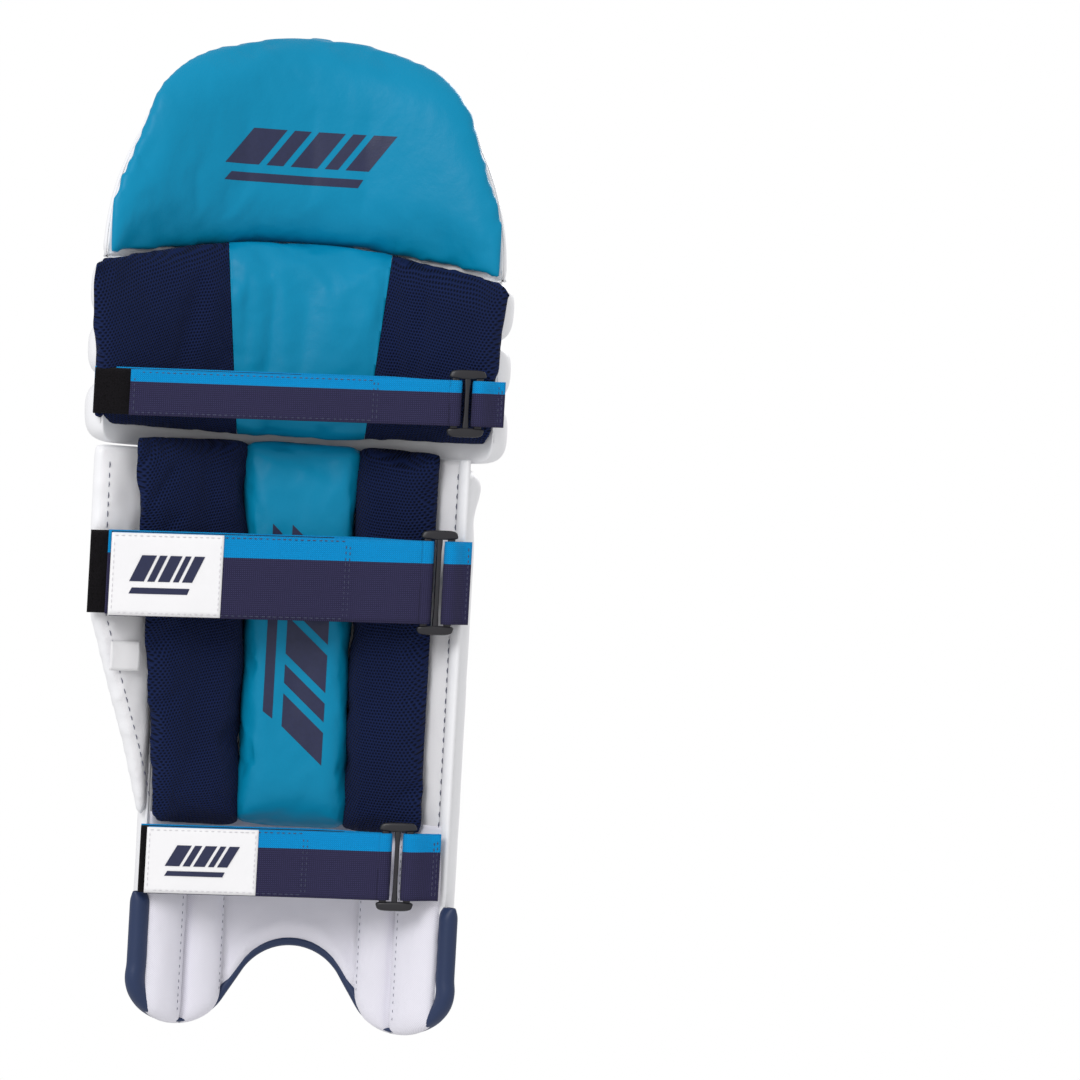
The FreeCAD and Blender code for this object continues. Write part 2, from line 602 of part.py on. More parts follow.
def ring(bar_u, width):
    """Moulded ring: two upright bars and two rounded ends."""
    centre_n = WEB / 2 + TURN
    half = width / 2 + RING_CLEAR
    low_end = -half - RING_END / 2
    bars = [Part.makeCylinder(BAR_RADIUS, 2 * half + RING_END, Vector(bar_u + d, -centre_n, low_end))
            for d in (0, BAR_SPACING)]
    ends = []
    for low in (-half - RING_END, half):
        block = Part.makeBox(BAR_SPACING + 3 * BAR_RADIUS, 2 * BAR_RADIUS, RING_END,
                             Vector(bar_u - 1.5 * BAR_RADIUS, -centre_n - BAR_RADIUS, low))
        outside = low if low < 0 else low + RING_END
        corners = [e for e in block.Edges if abs(e.CenterOfMass.z - outside) < 0.01
                   and e.BoundBox.XLength < 0.01 and e.BoundBox.YLength > 1]
        ends.append(block.makeFillet(RING_ROUND, corners))
    return fused(bars + ends)


def strap_parts():
    parts = {}
    for name, (z, width, a, k, bar_x, tip_x, label) in STRAPS.items():
        length, place = strap_frame(a, k)
        along = length / (a[0] - k[0])
        bar_u = (a[0] - bar_x) * along
        tip_u = (a[0] - tip_x) * along
        crease_u = bar_u - CREASE_FROM_BAR
        calf = name == "calf"
        start = CALF_STRAP_START if calf else STRAP_START
        parts[f"{name}_strap"] = place(turned_strap(start, bar_u, crease_u, width), z)
        loop_u = CALF_LOOP_START if calf else start + PATCH_INSET
        tight = width - 2 * PATCH_INSET
        n = WEB + PATCH_LIFT
        parts[f"{name}_loop_patch"] = place(plate(loop_u, loop_u + LOOP_LENGTH, n, n + PILE, tight), z)
        hook_u = CALF_HOOK_START if calf else tip_u + PATCH_INSET
        n = 2 * TURN - PATCH_LIFT
        parts[f"{name}_hook_patch"] = place(plate(hook_u, hook_u + HOOK_LENGTH, n - PILE, n, tight), z)
        n = 2 * TURN
        parts[f"{name}_strap_tip"] = place(plate(tip_u, crease_u - CREASE_GAP, n, n + WEB, width), z)
        if label:
            n = 2 * TURN + WEB + 0.2
            parts[f"{name}_label"] = place(plate(tip_u, tip_u + label, n, n + PRINT_LABEL, width - 3), z)
        parts[f"{name}_keeper"] = place(keeper_loop(bar_u + BAR_SPACING, length, width), z)
        parts[f"{name}_ring"] = place(ring(bar_u, width), z)
        if calf:
            parts["calf_strap_tail"] = place(plate(-2.0, CALF_TAIL, -NEST - WEB, -NEST, tight), z)
    return parts


def build():
    parts = {}
    for made in (shin_parts, bolster_parts, wing_parts, knee_parts, top_hat_parts, strap_parts):
        parts.update(made())
    os.makedirs("parts", exist_ok=True)
    for name, shape in parts.items():
        shape.exportStep(f"parts/{name}.step")
    return parts


if __name__ == "__main__":
    for name, shape in build().items():
        box = shape.BoundBox
        print(f"{name:26s} solids {len(shape.Solids)} valid {shape.isValid()} "
              f"x {box.XMin:7.1f} {box.XMax:7.1f}  y {box.YMin:7.1f} {box.YMax:7.1f}  "
              f"z {box.ZMin:7.1f} {box.ZMax:7.1f}")
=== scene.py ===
import json
import math
import bmesh
import bpy
import numpy as np
from mathutils import Matrix, Vector, noise
from mathutils.bvhtree import BVHTree
from mathutils.kdtree import KDTree


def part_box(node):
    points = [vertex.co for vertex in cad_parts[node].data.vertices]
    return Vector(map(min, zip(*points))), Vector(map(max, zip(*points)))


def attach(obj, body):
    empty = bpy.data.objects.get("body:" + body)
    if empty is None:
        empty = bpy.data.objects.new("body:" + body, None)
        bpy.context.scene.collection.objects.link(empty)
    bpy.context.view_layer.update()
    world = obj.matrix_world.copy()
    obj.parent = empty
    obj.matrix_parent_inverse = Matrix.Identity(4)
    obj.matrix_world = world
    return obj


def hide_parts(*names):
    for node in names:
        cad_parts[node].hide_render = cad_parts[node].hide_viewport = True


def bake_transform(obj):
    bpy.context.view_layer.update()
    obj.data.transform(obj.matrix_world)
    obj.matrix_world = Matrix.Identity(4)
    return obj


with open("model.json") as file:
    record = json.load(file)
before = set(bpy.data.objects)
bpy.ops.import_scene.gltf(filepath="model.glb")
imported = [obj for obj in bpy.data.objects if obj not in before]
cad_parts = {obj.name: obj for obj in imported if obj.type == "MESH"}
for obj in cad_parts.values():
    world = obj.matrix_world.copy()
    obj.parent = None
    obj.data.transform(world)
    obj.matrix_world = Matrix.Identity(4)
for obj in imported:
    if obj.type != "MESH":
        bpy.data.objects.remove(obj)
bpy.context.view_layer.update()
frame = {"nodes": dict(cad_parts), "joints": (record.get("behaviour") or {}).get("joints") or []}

# Everything is worked out in millimetres in the pad's frame, and scaled when a mesh is made.
# +Z is up the leg, -Y is the white front, +Y is the leg side, +X is the side with the wing.
MM = 0.001
MERGE = 0.01                    # points this close are one point
X, Y, Z = 0, 1, 2
FRONT, LEG_SIDE = (0, -1, 0), (0, 1, 0)


def low(node, axis):
    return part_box(node)[0][axis] / MM


def high(node, axis):
    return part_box(node)[1][axis] / MM


JOINTS = {j["name"]: j for j in frame["joints"]}


def joint_at(name):
    return np.array(JOINTS[name]["pos_m"]) / MM


# ---- driving dimensions
AXIS_X = -14.0                  # the crest line that all the bends share
CREST_Y = -39.0
SHIN_R = 152.0
KNEE_R = 200.0
SEAM_Z = [joint_at(f"knee_seam_{i}")[Z] for i in (1, 2, 3, 4)]
SHIN_TOP, TOP_SEAM = SEAM_Z[0], SEAM_Z[3]
TOP_Z = high("top_hat_pad", Z)
PITCH = 13.8
FIRST_SEAM = -50.0
CHANNELS = 7
FOOT_X = (low("bottom_binding", X) + high("bottom_binding", X)) / 2
FOOT_HALF = 119.0
ARCH_TOP = 60.0
DOME_HALF = 148


# ---- small maths
def smooth(t):
    t = np.clip(t, 0, 1)
    return t * t * (3 - 2 * t)


def mix(a, b, t):
    return a + (b - a) * t


def floats(*values):
    """Arrays of one shape from numbers or arrays."""
    return np.broadcast_arrays(*(np.asarray(v, float) for v in values))


def quarter(t):
    """A quarter circle's rise, from 0 at 0 to 1 at 1."""
    return np.sqrt(1 - (1 - t) ** 2)


def unit(rows):
    return rows / np.linalg.norm(rows, axis=-1)[..., None]


def run_of(points):
    """Distance along a line of points, at each of them."""
    return np.concatenate([[0], np.cumsum(np.linalg.norm(np.diff(points, axis=0), axis=1))])


def sample(at, run, rows):
    """Rows at those distances along a line."""
    return np.stack([np.interp(at, run, rows[:, k]) for k in range(rows.shape[1])], -1)


def run_across(pts):
    """Distance along each row of a grid of points."""
    steps = np.linalg.norm(np.diff(pts, axis=1), axis=2)
    return np.cumsum(np.concatenate([np.zeros((len(pts), 1)), steps], 1), 1)


def bend(base, x, z, h):
    """Points h in front of the sewn surface of a bend with that radius (behind it where h is negative)."""
    x, z, h = floats(x, z, h)
    s = np.clip((x - AXIS_X) / base, -0.995, 0.995)
    c = np.sqrt(1 - s * s)
    return np.stack([AXIS_X + (base + h) * s, CREST_Y + base - (base + h) * c, z], -1)


def bend_x(base, degrees):
    return AXIS_X + base * np.sin(np.radians(degrees))


def fuzz(a, b, seed=0.0):
    """Smooth noise from -1 to 1 at each pair of coordinates."""
    a, b = floats(a, b)
    flat = [noise.noise((p, q, seed)) for p, q in zip(a.ravel(), b.ravel())]
    return np.array(flat).reshape(a.shape)


def arc_points(a, m, b, n):
    """n + 1 points of the arc from a through m to b, in a plane."""
    a, m, b = (complex(*p) for p in (a, m, b))
    w = (m - a) / (b - a)
    c = (a - b) * (w - abs(w) ** 2) / (2j * w.imag) - a
    centre, start = -c, a + c
    turn = np.angle((b + c) / start)
    half = np.angle((m + c) / start)
    if turn * half < 0 or abs(half) > abs(turn):
        turn -= math.copysign(2 * math.pi, turn)
    p = centre + start * np.exp(1j * turn * np.linspace(0, 1, n + 1))
    return np.stack([p.real, p.imag], -1)


# ---- meshes
def make(name, verts, faces, uv=None):
    """A mesh object from points in mm, with uv in mm for each point."""
    mesh = bpy.data.meshes.new(name)
    mesh.from_pydata((np.asarray(verts, float) * MM).tolist(), [], [tuple(int(i) for i in f) for f in faces])
    piece = in_scene(name, mesh)
    if uv is not None:
        set_uv(piece, np.asarray(uv, float))
    shade_smooth(mesh)
    return piece


def in_scene(name, data):
    piece = bpy.data.objects.new(name, data)
    bpy.context.scene.collection.objects.link(piece)
    return piece


def shade_smooth(mesh):
    mesh.polygons.foreach_set("use_smooth", [True] * len(mesh.polygons))


def set_uv(piece, uv):
    mesh = piece.data
    layer = mesh.uv_layers.get("UVMap") or mesh.uv_layers.new(name="UVMap")
    index = np.zeros(len(mesh.loops), int)
    mesh.loops.foreach_get("vertex_index", index)
    layer.data.foreach_set("uv", uv[index].ravel())


def points_of(piece):
    co = np.zeros(len(piece.data.vertices) * 3)
    piece.data.vertices.foreach_get("co", co)
    return co.reshape(-1, 3) / MM


def set_points(piece, pts):
    piece.data.vertices.foreach_set("co", (pts * MM).ravel())
    piece.data.update()


def normals_of(piece):
    piece.data.update()
    n = np.zeros(len(piece.data.vertices) * 3)
    piece.data.vertex_normals.foreach_get("vector", n)
    return n.reshape(-1, 3)


def wrap_uv(piece, base):
    """UVs in mm for a soft piece: round the bend, and up."""
    p = points_of(piece)
    around = base * np.arctan2(p[:, X] - AXIS_X, CREST_Y + base - p[:, Y])
    set_uv(piece, np.stack([around, p[:, Z] + 0.6 * p[:, Y]], -1))


def grid_faces(n, m, around=False, offset=0):
    faces = []
    for i in range(n - 1):
        this, after = offset + i * m, offset + (i + 1) * m
        for j in range(m if around else m - 1):
            k = (j + 1) % m
            faces.append((this + j, this + k, after + k, after + j))
    return faces


def sheet_piece(name, pts, uv, thick=1.2, outward=FRONT):
    """A cloth or leather skin from a grid of points, thickened behind its show side."""
    n, m = pts.shape[:2]
    piece = make(name, pts.reshape(-1, 3), grid_faces(n, m), uv.reshape(-1, 2))
    if normals_of(piece).mean(0) @ np.array(outward) < 0:
        piece.data.flip_normals()
    thicken(piece, thick)
    return piece


def thicken(piece, thick):
    add = piece.modifiers.new("thickness", "SOLIDIFY")
    add.thickness = thick * MM
    add.offset = -1
    apply_modifiers(piece)


def apply_modifiers(piece):
    graph = bpy.context.evaluated_depsgraph_get()
    graph.update()
    mesh = bpy.data.meshes.new_from_object(piece.evaluated_get(graph))
    piece.modifiers.clear()
    old = piece.data
    piece.data = mesh
    bpy.data.meshes.remove(old)
    shade_smooth(mesh)


def subdivide(piece, levels=1):
    piece.modifiers.new("round", "SUBSURF").levels = levels
    apply_modifiers(piece)


def face_outwards(piece, merge=None):
    """Turns all faces outwards, after merging points closer than `merge` mm."""
    bm = bmesh.new()
    bm.from_mesh(piece.data)
    if merge:
        bmesh.ops.remove_doubles(bm, verts=bm.verts, dist=merge * MM)
    bmesh.ops.recalc_face_normals(bm, faces=bm.faces)
    bm.to_mesh(piece.data)
    bm.free()
    shade_smooth(piece.data)


def joined_shapes(shapes):
    """Verts and faces of several (verts, faces) pairs as one."""
    verts, faces = [], []
    for more_verts, more_faces in shapes:
        faces += [tuple(i + len(verts) for i in face) for face in more_faces]
        verts += list(more_verts)
    return verts, faces


# ---- materials
def linear(r, g, b):
    """Linear colour from 0-255 screen values."""
    return tuple(((c / 255 + 0.055) / 1.055) ** 2.4 if c > 10 else c / 255 / 12.92 for c in (r, g, b)) + (1.0,)


class Finish:
    """A small builder for node materials."""

    def __init__(self, name, colour, rough, **sockets):
        self.mat = bpy.data.materials.new(name)
        self.mat.use_nodes = True
        self.tree = self.mat.node_tree
        self.bsdf = self.tree.nodes["Principled BSDF"]
        self.bsdf.inputs["Base Color"].default_value = colour
        self.bsdf.inputs["Roughness"].default_value = rough
        for key, value in sockets.items():
            self.bsdf.inputs[key.replace("_", " ")].default_value = value
        self.height = None

    def node(self, kind, **values):
        n = self.tree.nodes.new(kind)
        for key, value in values.items():
            setattr(n, key, value)
        return n

    def link(self, a, b):
        self.tree.links.new(a, b)

    def coords(self, space="UV"):
        return self.node("ShaderNodeTexCoord").outputs[space]

    def math(self, operation, a, b=None, c=None):
        n = self.node("ShaderNodeMath", operation=operation)
        for socket, value in zip(n.inputs, (a, b, c)):
            if value is None:
                continue
            if isinstance(value, (int, float)):
                socket.default_value = value
            else:
                self.link(value, socket)
        return n.outputs[0]

    def uv(self):
        n = self.node("ShaderNodeSeparateXYZ")
        self.link(self.coords(), n.inputs[0])
        return n.outputs["X"], n.outputs["Y"]

    def noise(self, coords, scale, detail=3.0):
        n = self.node("ShaderNodeTexNoise")
        self.link(coords, n.inputs["Vector"])
        n.inputs["Scale"].default_value = scale
        n.inputs["Detail"].default_value = detail
        return n.outputs["Fac"]

    def cells(self, coords, scale, feature="F1", random=1.0):
        n = self.node("ShaderNodeTexVoronoi", feature=feature)
        self.link(coords, n.inputs["Vector"])
        n.inputs["Scale"].default_value = scale
        n.inputs["Randomness"].default_value = random
        return n.outputs["Distance"]

    def ramp(self, fac, black, white):
        """Black up to one value, white from the other, and a slope between."""
        n = self.node("ShaderNodeValToRGB")
        self.link(fac, n.inputs[0])
        for element, place in zip(n.color_ramp.elements, (black, white)):
            element.position = place
        return n.outputs[0]

    def blend(self, fac, a, b):
        n = self.node("ShaderNodeMix", data_type="RGBA")
        self.link(fac, n.inputs[0])
        for socket, value in ((n.inputs[6], a), (n.inputs[7], b)):
            if isinstance(value, tuple):
                socket.default_value = value
            else:
                self.link(value, socket)
        return n.outputs[2]

    def paint(self, output):
        self.link(output, self.bsdf.inputs["Base Color"])

    def roughness(self, fac, a, b):
        n = self.node("ShaderNodeMapRange")
        self.link(fac, n.inputs[0])
        n.inputs["To Min"].default_value = a
        n.inputs["To Max"].default_value = b
        self.link(n.outputs[0], self.bsdf.inputs["Roughness"])

    def bump(self, height, distance, strength=1.0):
        """Adds a layer of bump; distance is in mm."""
        n = self.node("ShaderNodeBump")
        n.inputs["Distance"].default_value = distance * MM
        n.inputs["Strength"].default_value = strength
        self.link(height, n.inputs["Height"])
        if self.height is not None:
            self.link(self.height, n.inputs["Normal"])
        self.height = n.outputs[0]
        self.link(self.height, self.bsdf.inputs["Normal"])


def scaled(colour, k):
    return tuple(min(1.0, c * k) for c in colour[:3]) + (1.0,)


def leather(name, colour, rough, grain, crease, shade=0.93, gloss=0.45):
    """Coated leather: fine pebble grain, soft creases, slightly uneven colour."""
    f = Finish(name, colour, rough, Specular_IOR_Level=gloss)
    place = f.coords("Object")
    tone = f.noise(place, 9.0, 4.0)
    f.paint(f.blend(f.ramp(tone, 0.3, 0.7), scaled(colour, shade), colour))
    f.roughness(f.noise(place, 60.0), rough - 0.05, rough + 0.08)
    f.bump(f.noise(place, 55.0, 3.0), crease)
    f.bump(f.cells(place, 900.0), grain)
    return f.mat


def cloth_twill(name, colour, pitch=0.9):
    f = Finish(name, colour, 0.85, Sheen_Weight=0.25, Sheen_Roughness=0.5, Specular_IOR_Level=0.2)
    u, v = f.uv()
    rise = f.math("ADD", u, f.math("MULTIPLY", v, 0.75))
    fall = f.math("SUBTRACT", v, f.math("MULTIPLY", u, 0.2))
    rib = f.math("SINE", f.math("MULTIPLY", rise, 2 * math.pi / pitch))
    yarn = f.math("SINE", f.math("MULTIPLY", fall, 4 * math.pi / pitch))
    weave = f.math("ADD", rib, f.math("MULTIPLY", yarn, 0.35))
    # painted shade: the colour is a darker copy in the twill's grooves, where the rib wave is low
    f.paint(f.blend(f.math("MULTIPLY_ADD", rib, 0.5, 0.5), scaled(colour, 0.9), colour))
    f.bump(weave, 0.07)
    f.bump(f.noise(f.coords("Object"), 40.0, 4.0), 1.2)
    return f.mat


def mesh_cloth(name, colour, pitch=2.3):
    """Spacer mesh: open cells in a six-sided grid, painted dark as the shade inside them, so the yarn between
    them shows brighter.
    """
    f = Finish(name, colour, 0.75, Sheen_Weight=0.02, Sheen_Roughness=0.35, Specular_IOR_Level=0.12)
    u, v = f.uv()
    k = 2 * math.pi / pitch
    waves = []
    for a in (0.0, 1 / 3, 2 / 3):
        cu, cv = k * math.cos(a * math.pi + 0.5), k * math.sin(a * math.pi + 0.5)
        waves.append(f.math("COSINE", f.math("ADD", f.math("MULTIPLY", u, cu), f.math("MULTIPLY", v, cv))))
    cell = f.math("ADD", f.math("ADD", waves[0], waves[1]), waves[2])
    open_cell_shade = f.ramp(f.math("MULTIPLY_ADD", cell, 1 / 4.5, 1 / 3), 0.42, 0.72)
    tone = f.blend(f.noise(f.coords("Object"), 14.0), scaled(colour, 0.8), scaled(colour, 1.25))
    # painted shade: each open cell takes a near-black copy of the colour, for the shade inside it
    f.paint(f.blend(open_cell_shade, tone, scaled(colour, 0.22)))
    f.bump(f.noise(f.coords("Object"), 70.0, 3.0), 0.9)
    f.bump(f.math("MULTIPLY", cell, -1.0), 0.3)
    return f.mat


def webbing(name, body, stripe, width, share):
    """Basket-weave webbing, with a stripe along the top edge, painted shade in the gaps between its yarns, and
    a lighter copy of its colour on alternate blocks of yarn. v of the UV runs up the width, in mm.
    """
    f = Finish(name, body, 0.8, Sheen_Weight=0.03, Sheen_Roughness=0.4, Specular_IOR_Level=0.12)
    u, v = f.uv()
    step = 1.5
    a = f.math("MULTIPLY", f.math("ADD", u, v), 1 / step)
    b = f.math("MULTIPLY", f.math("SUBTRACT", u, v), 1 / step)
    ra = f.math("ABSOLUTE", f.math("SINE", f.math("MULTIPLY", a, math.pi)))
    rb = f.math("ABSOLUTE", f.math("SINE", f.math("MULTIPLY", b, math.pi)))
    even = f.math("MODULO", f.math("ADD", f.math("FLOOR", a), f.math("FLOOR", b)), 2.0)
    even = f.math("ABSOLUTE", even)
    weave = f.math("ADD", f.math("MULTIPLY", ra, even), f.math("MULTIPLY", rb, f.math("SUBTRACT", 1.0, even)))
    top = f.math("GREATER_THAN", v, width * (1 - share))
    tone = f.blend(top, body, stripe)
    # painted shade: darker copies of the body and stripe colours, laid in the gaps between yarns where the
    # weave is low
    dark = f.blend(top, scaled(body, 0.35), scaled(stripe, 0.55))
    light = f.blend(even, tone, f.blend(top, scaled(body, 1.7), scaled(stripe, 1.12)))
    f.paint(f.blend(f.ramp(weave, 0.15, 0.6), dark, light))
    f.bump(weave, 0.35)
    return f.mat


def pile(name, colour, scale):
    """Short dense loops or hooks."""
    f = Finish(name, colour, 0.95, Sheen_Weight=0.05, Sheen_Roughness=0.6, Specular_IOR_Level=0.08)
    place = f.coords("Object")
    tuft = f.cells(place, scale)
    f.paint(f.blend(f.ramp(tuft, 0.2, 0.8), scaled(colour, 2.2), scaled(colour, 0.5)))
    f.bump(tuft, 0.6)
    f.bump(f.noise(place, 260.0, 4.0), 0.5)
    return f.mat


def label_cloth(name, colour):
    f = Finish(name, colour, 0.55, Sheen_Weight=0.15, Specular_IOR_Level=0.3)
    u, v = f.uv()
    rib = f.math("SINE", f.math("MULTIPLY", v, 2 * math.pi / 0.7))
    warp = f.math("SINE", f.math("MULTIPLY", u, 2 * math.pi / 0.5))
    f.paint(f.blend(f.noise(f.coords("Object"), 20.0), scaled(colour, 0.96), colour))
    f.bump(f.math("MULTIPLY", rib, warp), 0.04)
    f.bump(f.noise(f.coords("Object"), 45.0), 0.8)
    return f.mat


def thread(name, colour):
    f = Finish(name, colour, 0.6, Sheen_Weight=0.3)
    f.bump(f.noise(f.coords("Object"), 1500.0), 0.15)
    return f.mat


def ink(name, colour):
    f = Finish(name, colour, 0.42, Specular_IOR_Level=0.4)
    place = f.coords("Object")
    f.paint(f.blend(f.noise(place, 300.0), scaled(colour, 0.85), scaled(colour, 1.25)))
    f.bump(f.cells(place, 900.0), 0.05)
    return f.mat


def moulded(name, colour):
    f = Finish(name, colour, 0.38, Specular_IOR_Level=0.5)
    place = f.coords("Object")
    f.roughness(f.noise(place, 120.0), 0.3, 0.5)
    f.bump(f.noise(place, 900.0), 0.05)
    return f.mat


def cane_wood(name):
    light, dark = linear(206, 172, 112), linear(150, 112, 62)
    f = Finish(name, light, 0.6)
    place = f.coords("Object")
    f.paint(f.blend(f.noise(place, 220.0), dark, light))
    f.bump(f.noise(place, 500.0), 0.2)
    return f.mat


NAVY_THREAD = linear(38, 44, 82)
WHITE = leather("white_leather", linear(232, 232, 235), 0.40, 0.05, 0.8, 0.97)
TEAL = leather("teal_leather", linear(2, 133, 174), 0.42, 0.04, 0.9, 0.9, 0.15)
NAVY_MESH = mesh_cloth("navy_spacer_mesh", linear(18, 31, 70))
LINING = cloth_twill("white_lining", linear(243, 242, 245))
FOOT_LINING = cloth_twill("foot_lining", linear(236, 234, 244), 1.1)
BINDING = leather("navy_binding_tape", linear(27, 46, 84), 0.5, 0.06, 0.4, 0.85)
LOOP = pile("black_loop_pile", linear(11, 9, 12), 1300.0)
HOOK = pile("black_hook_tape", linear(10, 8, 11), 1700.0)
LABEL = label_cloth("white_woven_label", linear(243, 242, 244))
THREAD_NAVY = thread("navy_thread", NAVY_THREAD)
THREAD_WHITE = thread("white_thread", linear(214, 212, 216))
INK = ink("navy_print", linear(31, 36, 68))
PLASTIC = moulded("black_moulded_plastic", linear(26, 25, 31))
CANE = cane_wood("bare_cane")


def dress(piece, material, body=None):
    piece.data.materials.clear()
    piece.data.materials.append(material)
    if body:
        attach(piece, body)
    return piece


def stand_in(piece, material, slot, body, nodes, fill=None):
    """Dresses a piece that takes the place of CAD nodes; fill is given for a padded one, and is not used."""
    dress(piece, material, body)
    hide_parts(*nodes)
    return piece


# ---- stitching
def stitch_row(points, normals, length=4.6, gap=3.2, radius=0.42, jitter=0.25, seed=1):
    """Dashes of thread along a line of close points: verts and faces."""
    points, normals = np.asarray(points, float), np.asarray(normals, float)
    run = run_of(points)
    rng = np.random.default_rng(seed)
    verts, faces = [], []
    start = gap / 2
    while start + length < run[-1]:
        size = length * (1 + jitter * rng.uniform(-0.5, 0.5))
        ends = np.array([start, start + size / 2, start + size])
        centre = sample(ends, run, points)
        up = unit(sample(ends, run, normals))
        along = centre[2] - centre[0]
        along /= max(np.linalg.norm(along), 1e-6)
        side = np.cross(up, along)
        first = len(verts)
        for i, (c, n, s) in enumerate(zip(centre, up, side)):
            r = radius if i == 1 else radius * 0.55
            lift = radius * (0.75 if i == 1 else -0.2)
            for t in range(6):
                a = t * math.pi / 3
                verts.append(c + n * (lift + r * math.sin(a)) + s * r * math.cos(a))
        faces += grid_faces(3, 6, around=True, offset=first)
        faces.append(tuple(first + t for t in range(5, -1, -1)))
        faces.append(tuple(first + 12 + t for t in range(6)))
        start += length + gap * (1 + jitter * rng.uniform(-1, 1))
    return verts, faces


def sewing(name, rows, body, material=None):
    """One piece of stitching from several rows of (points, normals, settings)."""
    dashes = [stitch_row(points, normals, seed=k, **settings)
              for k, (points, normals, settings) in enumerate(rows, 1)]
    piece = make(name, *joined_shapes(dashes))
    dress(piece, material or THREAD_NAVY, body)
    face_outwards(piece, MERGE)
    return piece


class Surface:
    """Finds the outside of finished pieces, from the leg side (+1) or from the front (-1)."""

    def __init__(self, pieces, side):
        self.side = side
        self.trees = []
        for p in pieces:
            bm = bmesh.new()
            bm.from_mesh(p.data)
            self.trees.append(BVHTree.FromBMesh(bm))
            bm.free()

    def drop(self, x, z):
        """The outermost point at x, z, and its normal."""
        best = None
        start, towards = Vector((x * MM, self.side * 0.5, z * MM)), Vector((0, -self.side, 0))
        for tree in self.trees:
            hit, normal, _, _ = tree.ray_cast(start, towards)
            if hit is not None and (best is None or hit.y * self.side > best[0].y * self.side):
                best = (hit, normal)
        if best is None:
            return None
        normal = best[1] if best[1].y * self.side > 0 else -best[1]
        return np.array(best[0]) / MM, np.array(normal)

    def line(self, corners, step=1.5):
        """Points and normals along a line drawn in x, z."""
        corners = np.asarray(corners, float)
        run = run_of(corners)
        places = sample(np.arange(0, run[-1], step), run, corners)
        found = [f for f in (self.drop(*place) for place in places) if f is not None]
        return np.array([f[0] for f in found]), np.array([f[1] for f in found])

    def row(self, corners, length, gap, **more):
        """A row of stitches for sewing(), along a line drawn in x, z."""
        return self.line(corners) + ({"length": length, "gap": gap, **more},)


def printed(name, shapes, surface, body, lift=0.18, step=2.0):
    """Flat print on a surface: each shape is four corners in x, z, laid on the surface as a fine grid."""
    verts, faces = [], []
    for quad in shapes:
        a, b, c, d = (np.asarray(q, float) for q in quad)
        n = max(2, int(max(np.linalg.norm(b - a), np.linalg.norm(c - d)) / step) + 1)
        m = max(2, int(max(np.linalg.norm(d - a), np.linalg.norm(c - b)) / step) + 1)
        first = len(verts)
        for i in range(n):
            for j in range(m):
                u, v = i / (n - 1), j / (m - 1)
                p = mix(mix(a, b, u), mix(d, c, u), v)
                hit, normal = surface.drop(*p)
                verts.append(hit + normal * lift)
        faces += grid_faces(n, m, offset=first)
    piece = make(name, verts, faces)
    if normals_of(piece).mean(0)[Y] * surface.side < 0:
        piece.data.flip_normals()
    dress(piece, INK, body)
    return piece


def block_mark(x, z, width, height, along_z=False, side=1):
    """The generic mark that is printed on the pad: slanted blocks over a thin bar. side is -1 on the front."""
    parts = []
    widths = (0.20, 0.10, 0.16, 0.08, 0.14)
    start, slant, foot, gap = 0.0, 0.16, 0.32, 0.045
    for w in widths:
        parts.append([(start, foot), (start + w, foot), (start + w + slant, 1.0), (start + slant, 1.0)])
        start += w + gap
    parts.append([(0.0, 0.0), (0.80, 0.0), (0.83, 0.16), (0.04, 0.16)])
    placed = []
    for quad in parts:
        if along_z:
            placed.append([(x + (0.5 - q) * height, z + (0.5 - p) * width) for p, q in quad])
        else:
            placed.append([(x - side * (p - 0.5) * width, z + (q - 0.5) * height) for p, q in quad])
    return placed


# ---- outlines
def half_foot():
    """Points (distance from the foot's centre line, height) from the arch's crown round the lobe and up."""
    crown = arc_points((-40, 36), (0, ARCH_TOP), (40, 36), 24)[12:]
    slope = np.linspace((40, 36), (51, 19), 6)[1:]
    inner = arc_points((51, 19), (64, 5.5), (84, 0), 10)[1:]
    corner = arc_points((84, 0), (109, 9.5), (FOOT_HALF, 42), 16)[1:]
    return np.concatenate([crown, slope, inner, corner])


FOOT = half_foot()


def foot_bottom(x):
    """Height of the bottom edge of the pad at x."""
    return np.interp(np.abs(np.asarray(x) - FOOT_X), FOOT[:, 0], FOOT[:, 1])


def dome_side():
    """Points (half width, height above the top hat's seam) from the foot of the dome to its crown."""
    hip = arc_points((DOME_HALF, 0), (137, 71), (126, 98), 14)
    corner = arc_points((126, 98), (107, 134), (80, 154), 12)[1:]
    crown = arc_points((80, 154), (0, TOP_Z - TOP_SEAM), (-80, 154), 32)[1:17]
    return np.concatenate([hip, corner, crown])


DOME = dome_side()


def dome_top(x):
    """Height of the top hat's edge at x."""
    order = np.argsort(DOME[:, 0])
    return TOP_SEAM + np.interp(np.abs(x), DOME[order, 0], DOME[order, 1])


# ---- plan curves: distance along a bend, and distance off it towards the leg
class Plan:
    """A line drawn in plan, measured along from where x is least. lean 1 turns its normals straight back."""

    def __init__(self, points, lean=0.0):
        points = np.asarray(points, float)
        self.run = run_of(points)
        self.points = points
        slope = unit(np.gradient(points, self.run, axis=0))
        self.normals = unit(mix(np.stack([-slope[:, 1], slope[:, 0]], -1), np.array([0.0, 1.0]), lean))

    @property
    def length(self):
        return self.run[-1]

    def along(self, x):
        return np.interp(x, self.points[:, 0], self.run)

    def at(self, a, z, n):
        a, z, n = floats(a, z, n)
        x, y, nx, ny = (np.interp(a, self.run, row) for row in (*self.points.T, *self.normals.T))
        over = np.where(a < 0, a, np.where(a > self.length, a - self.length, 0))
        return np.stack([x + nx * n + over * ny, y + ny * n - over * nx, z], -1)


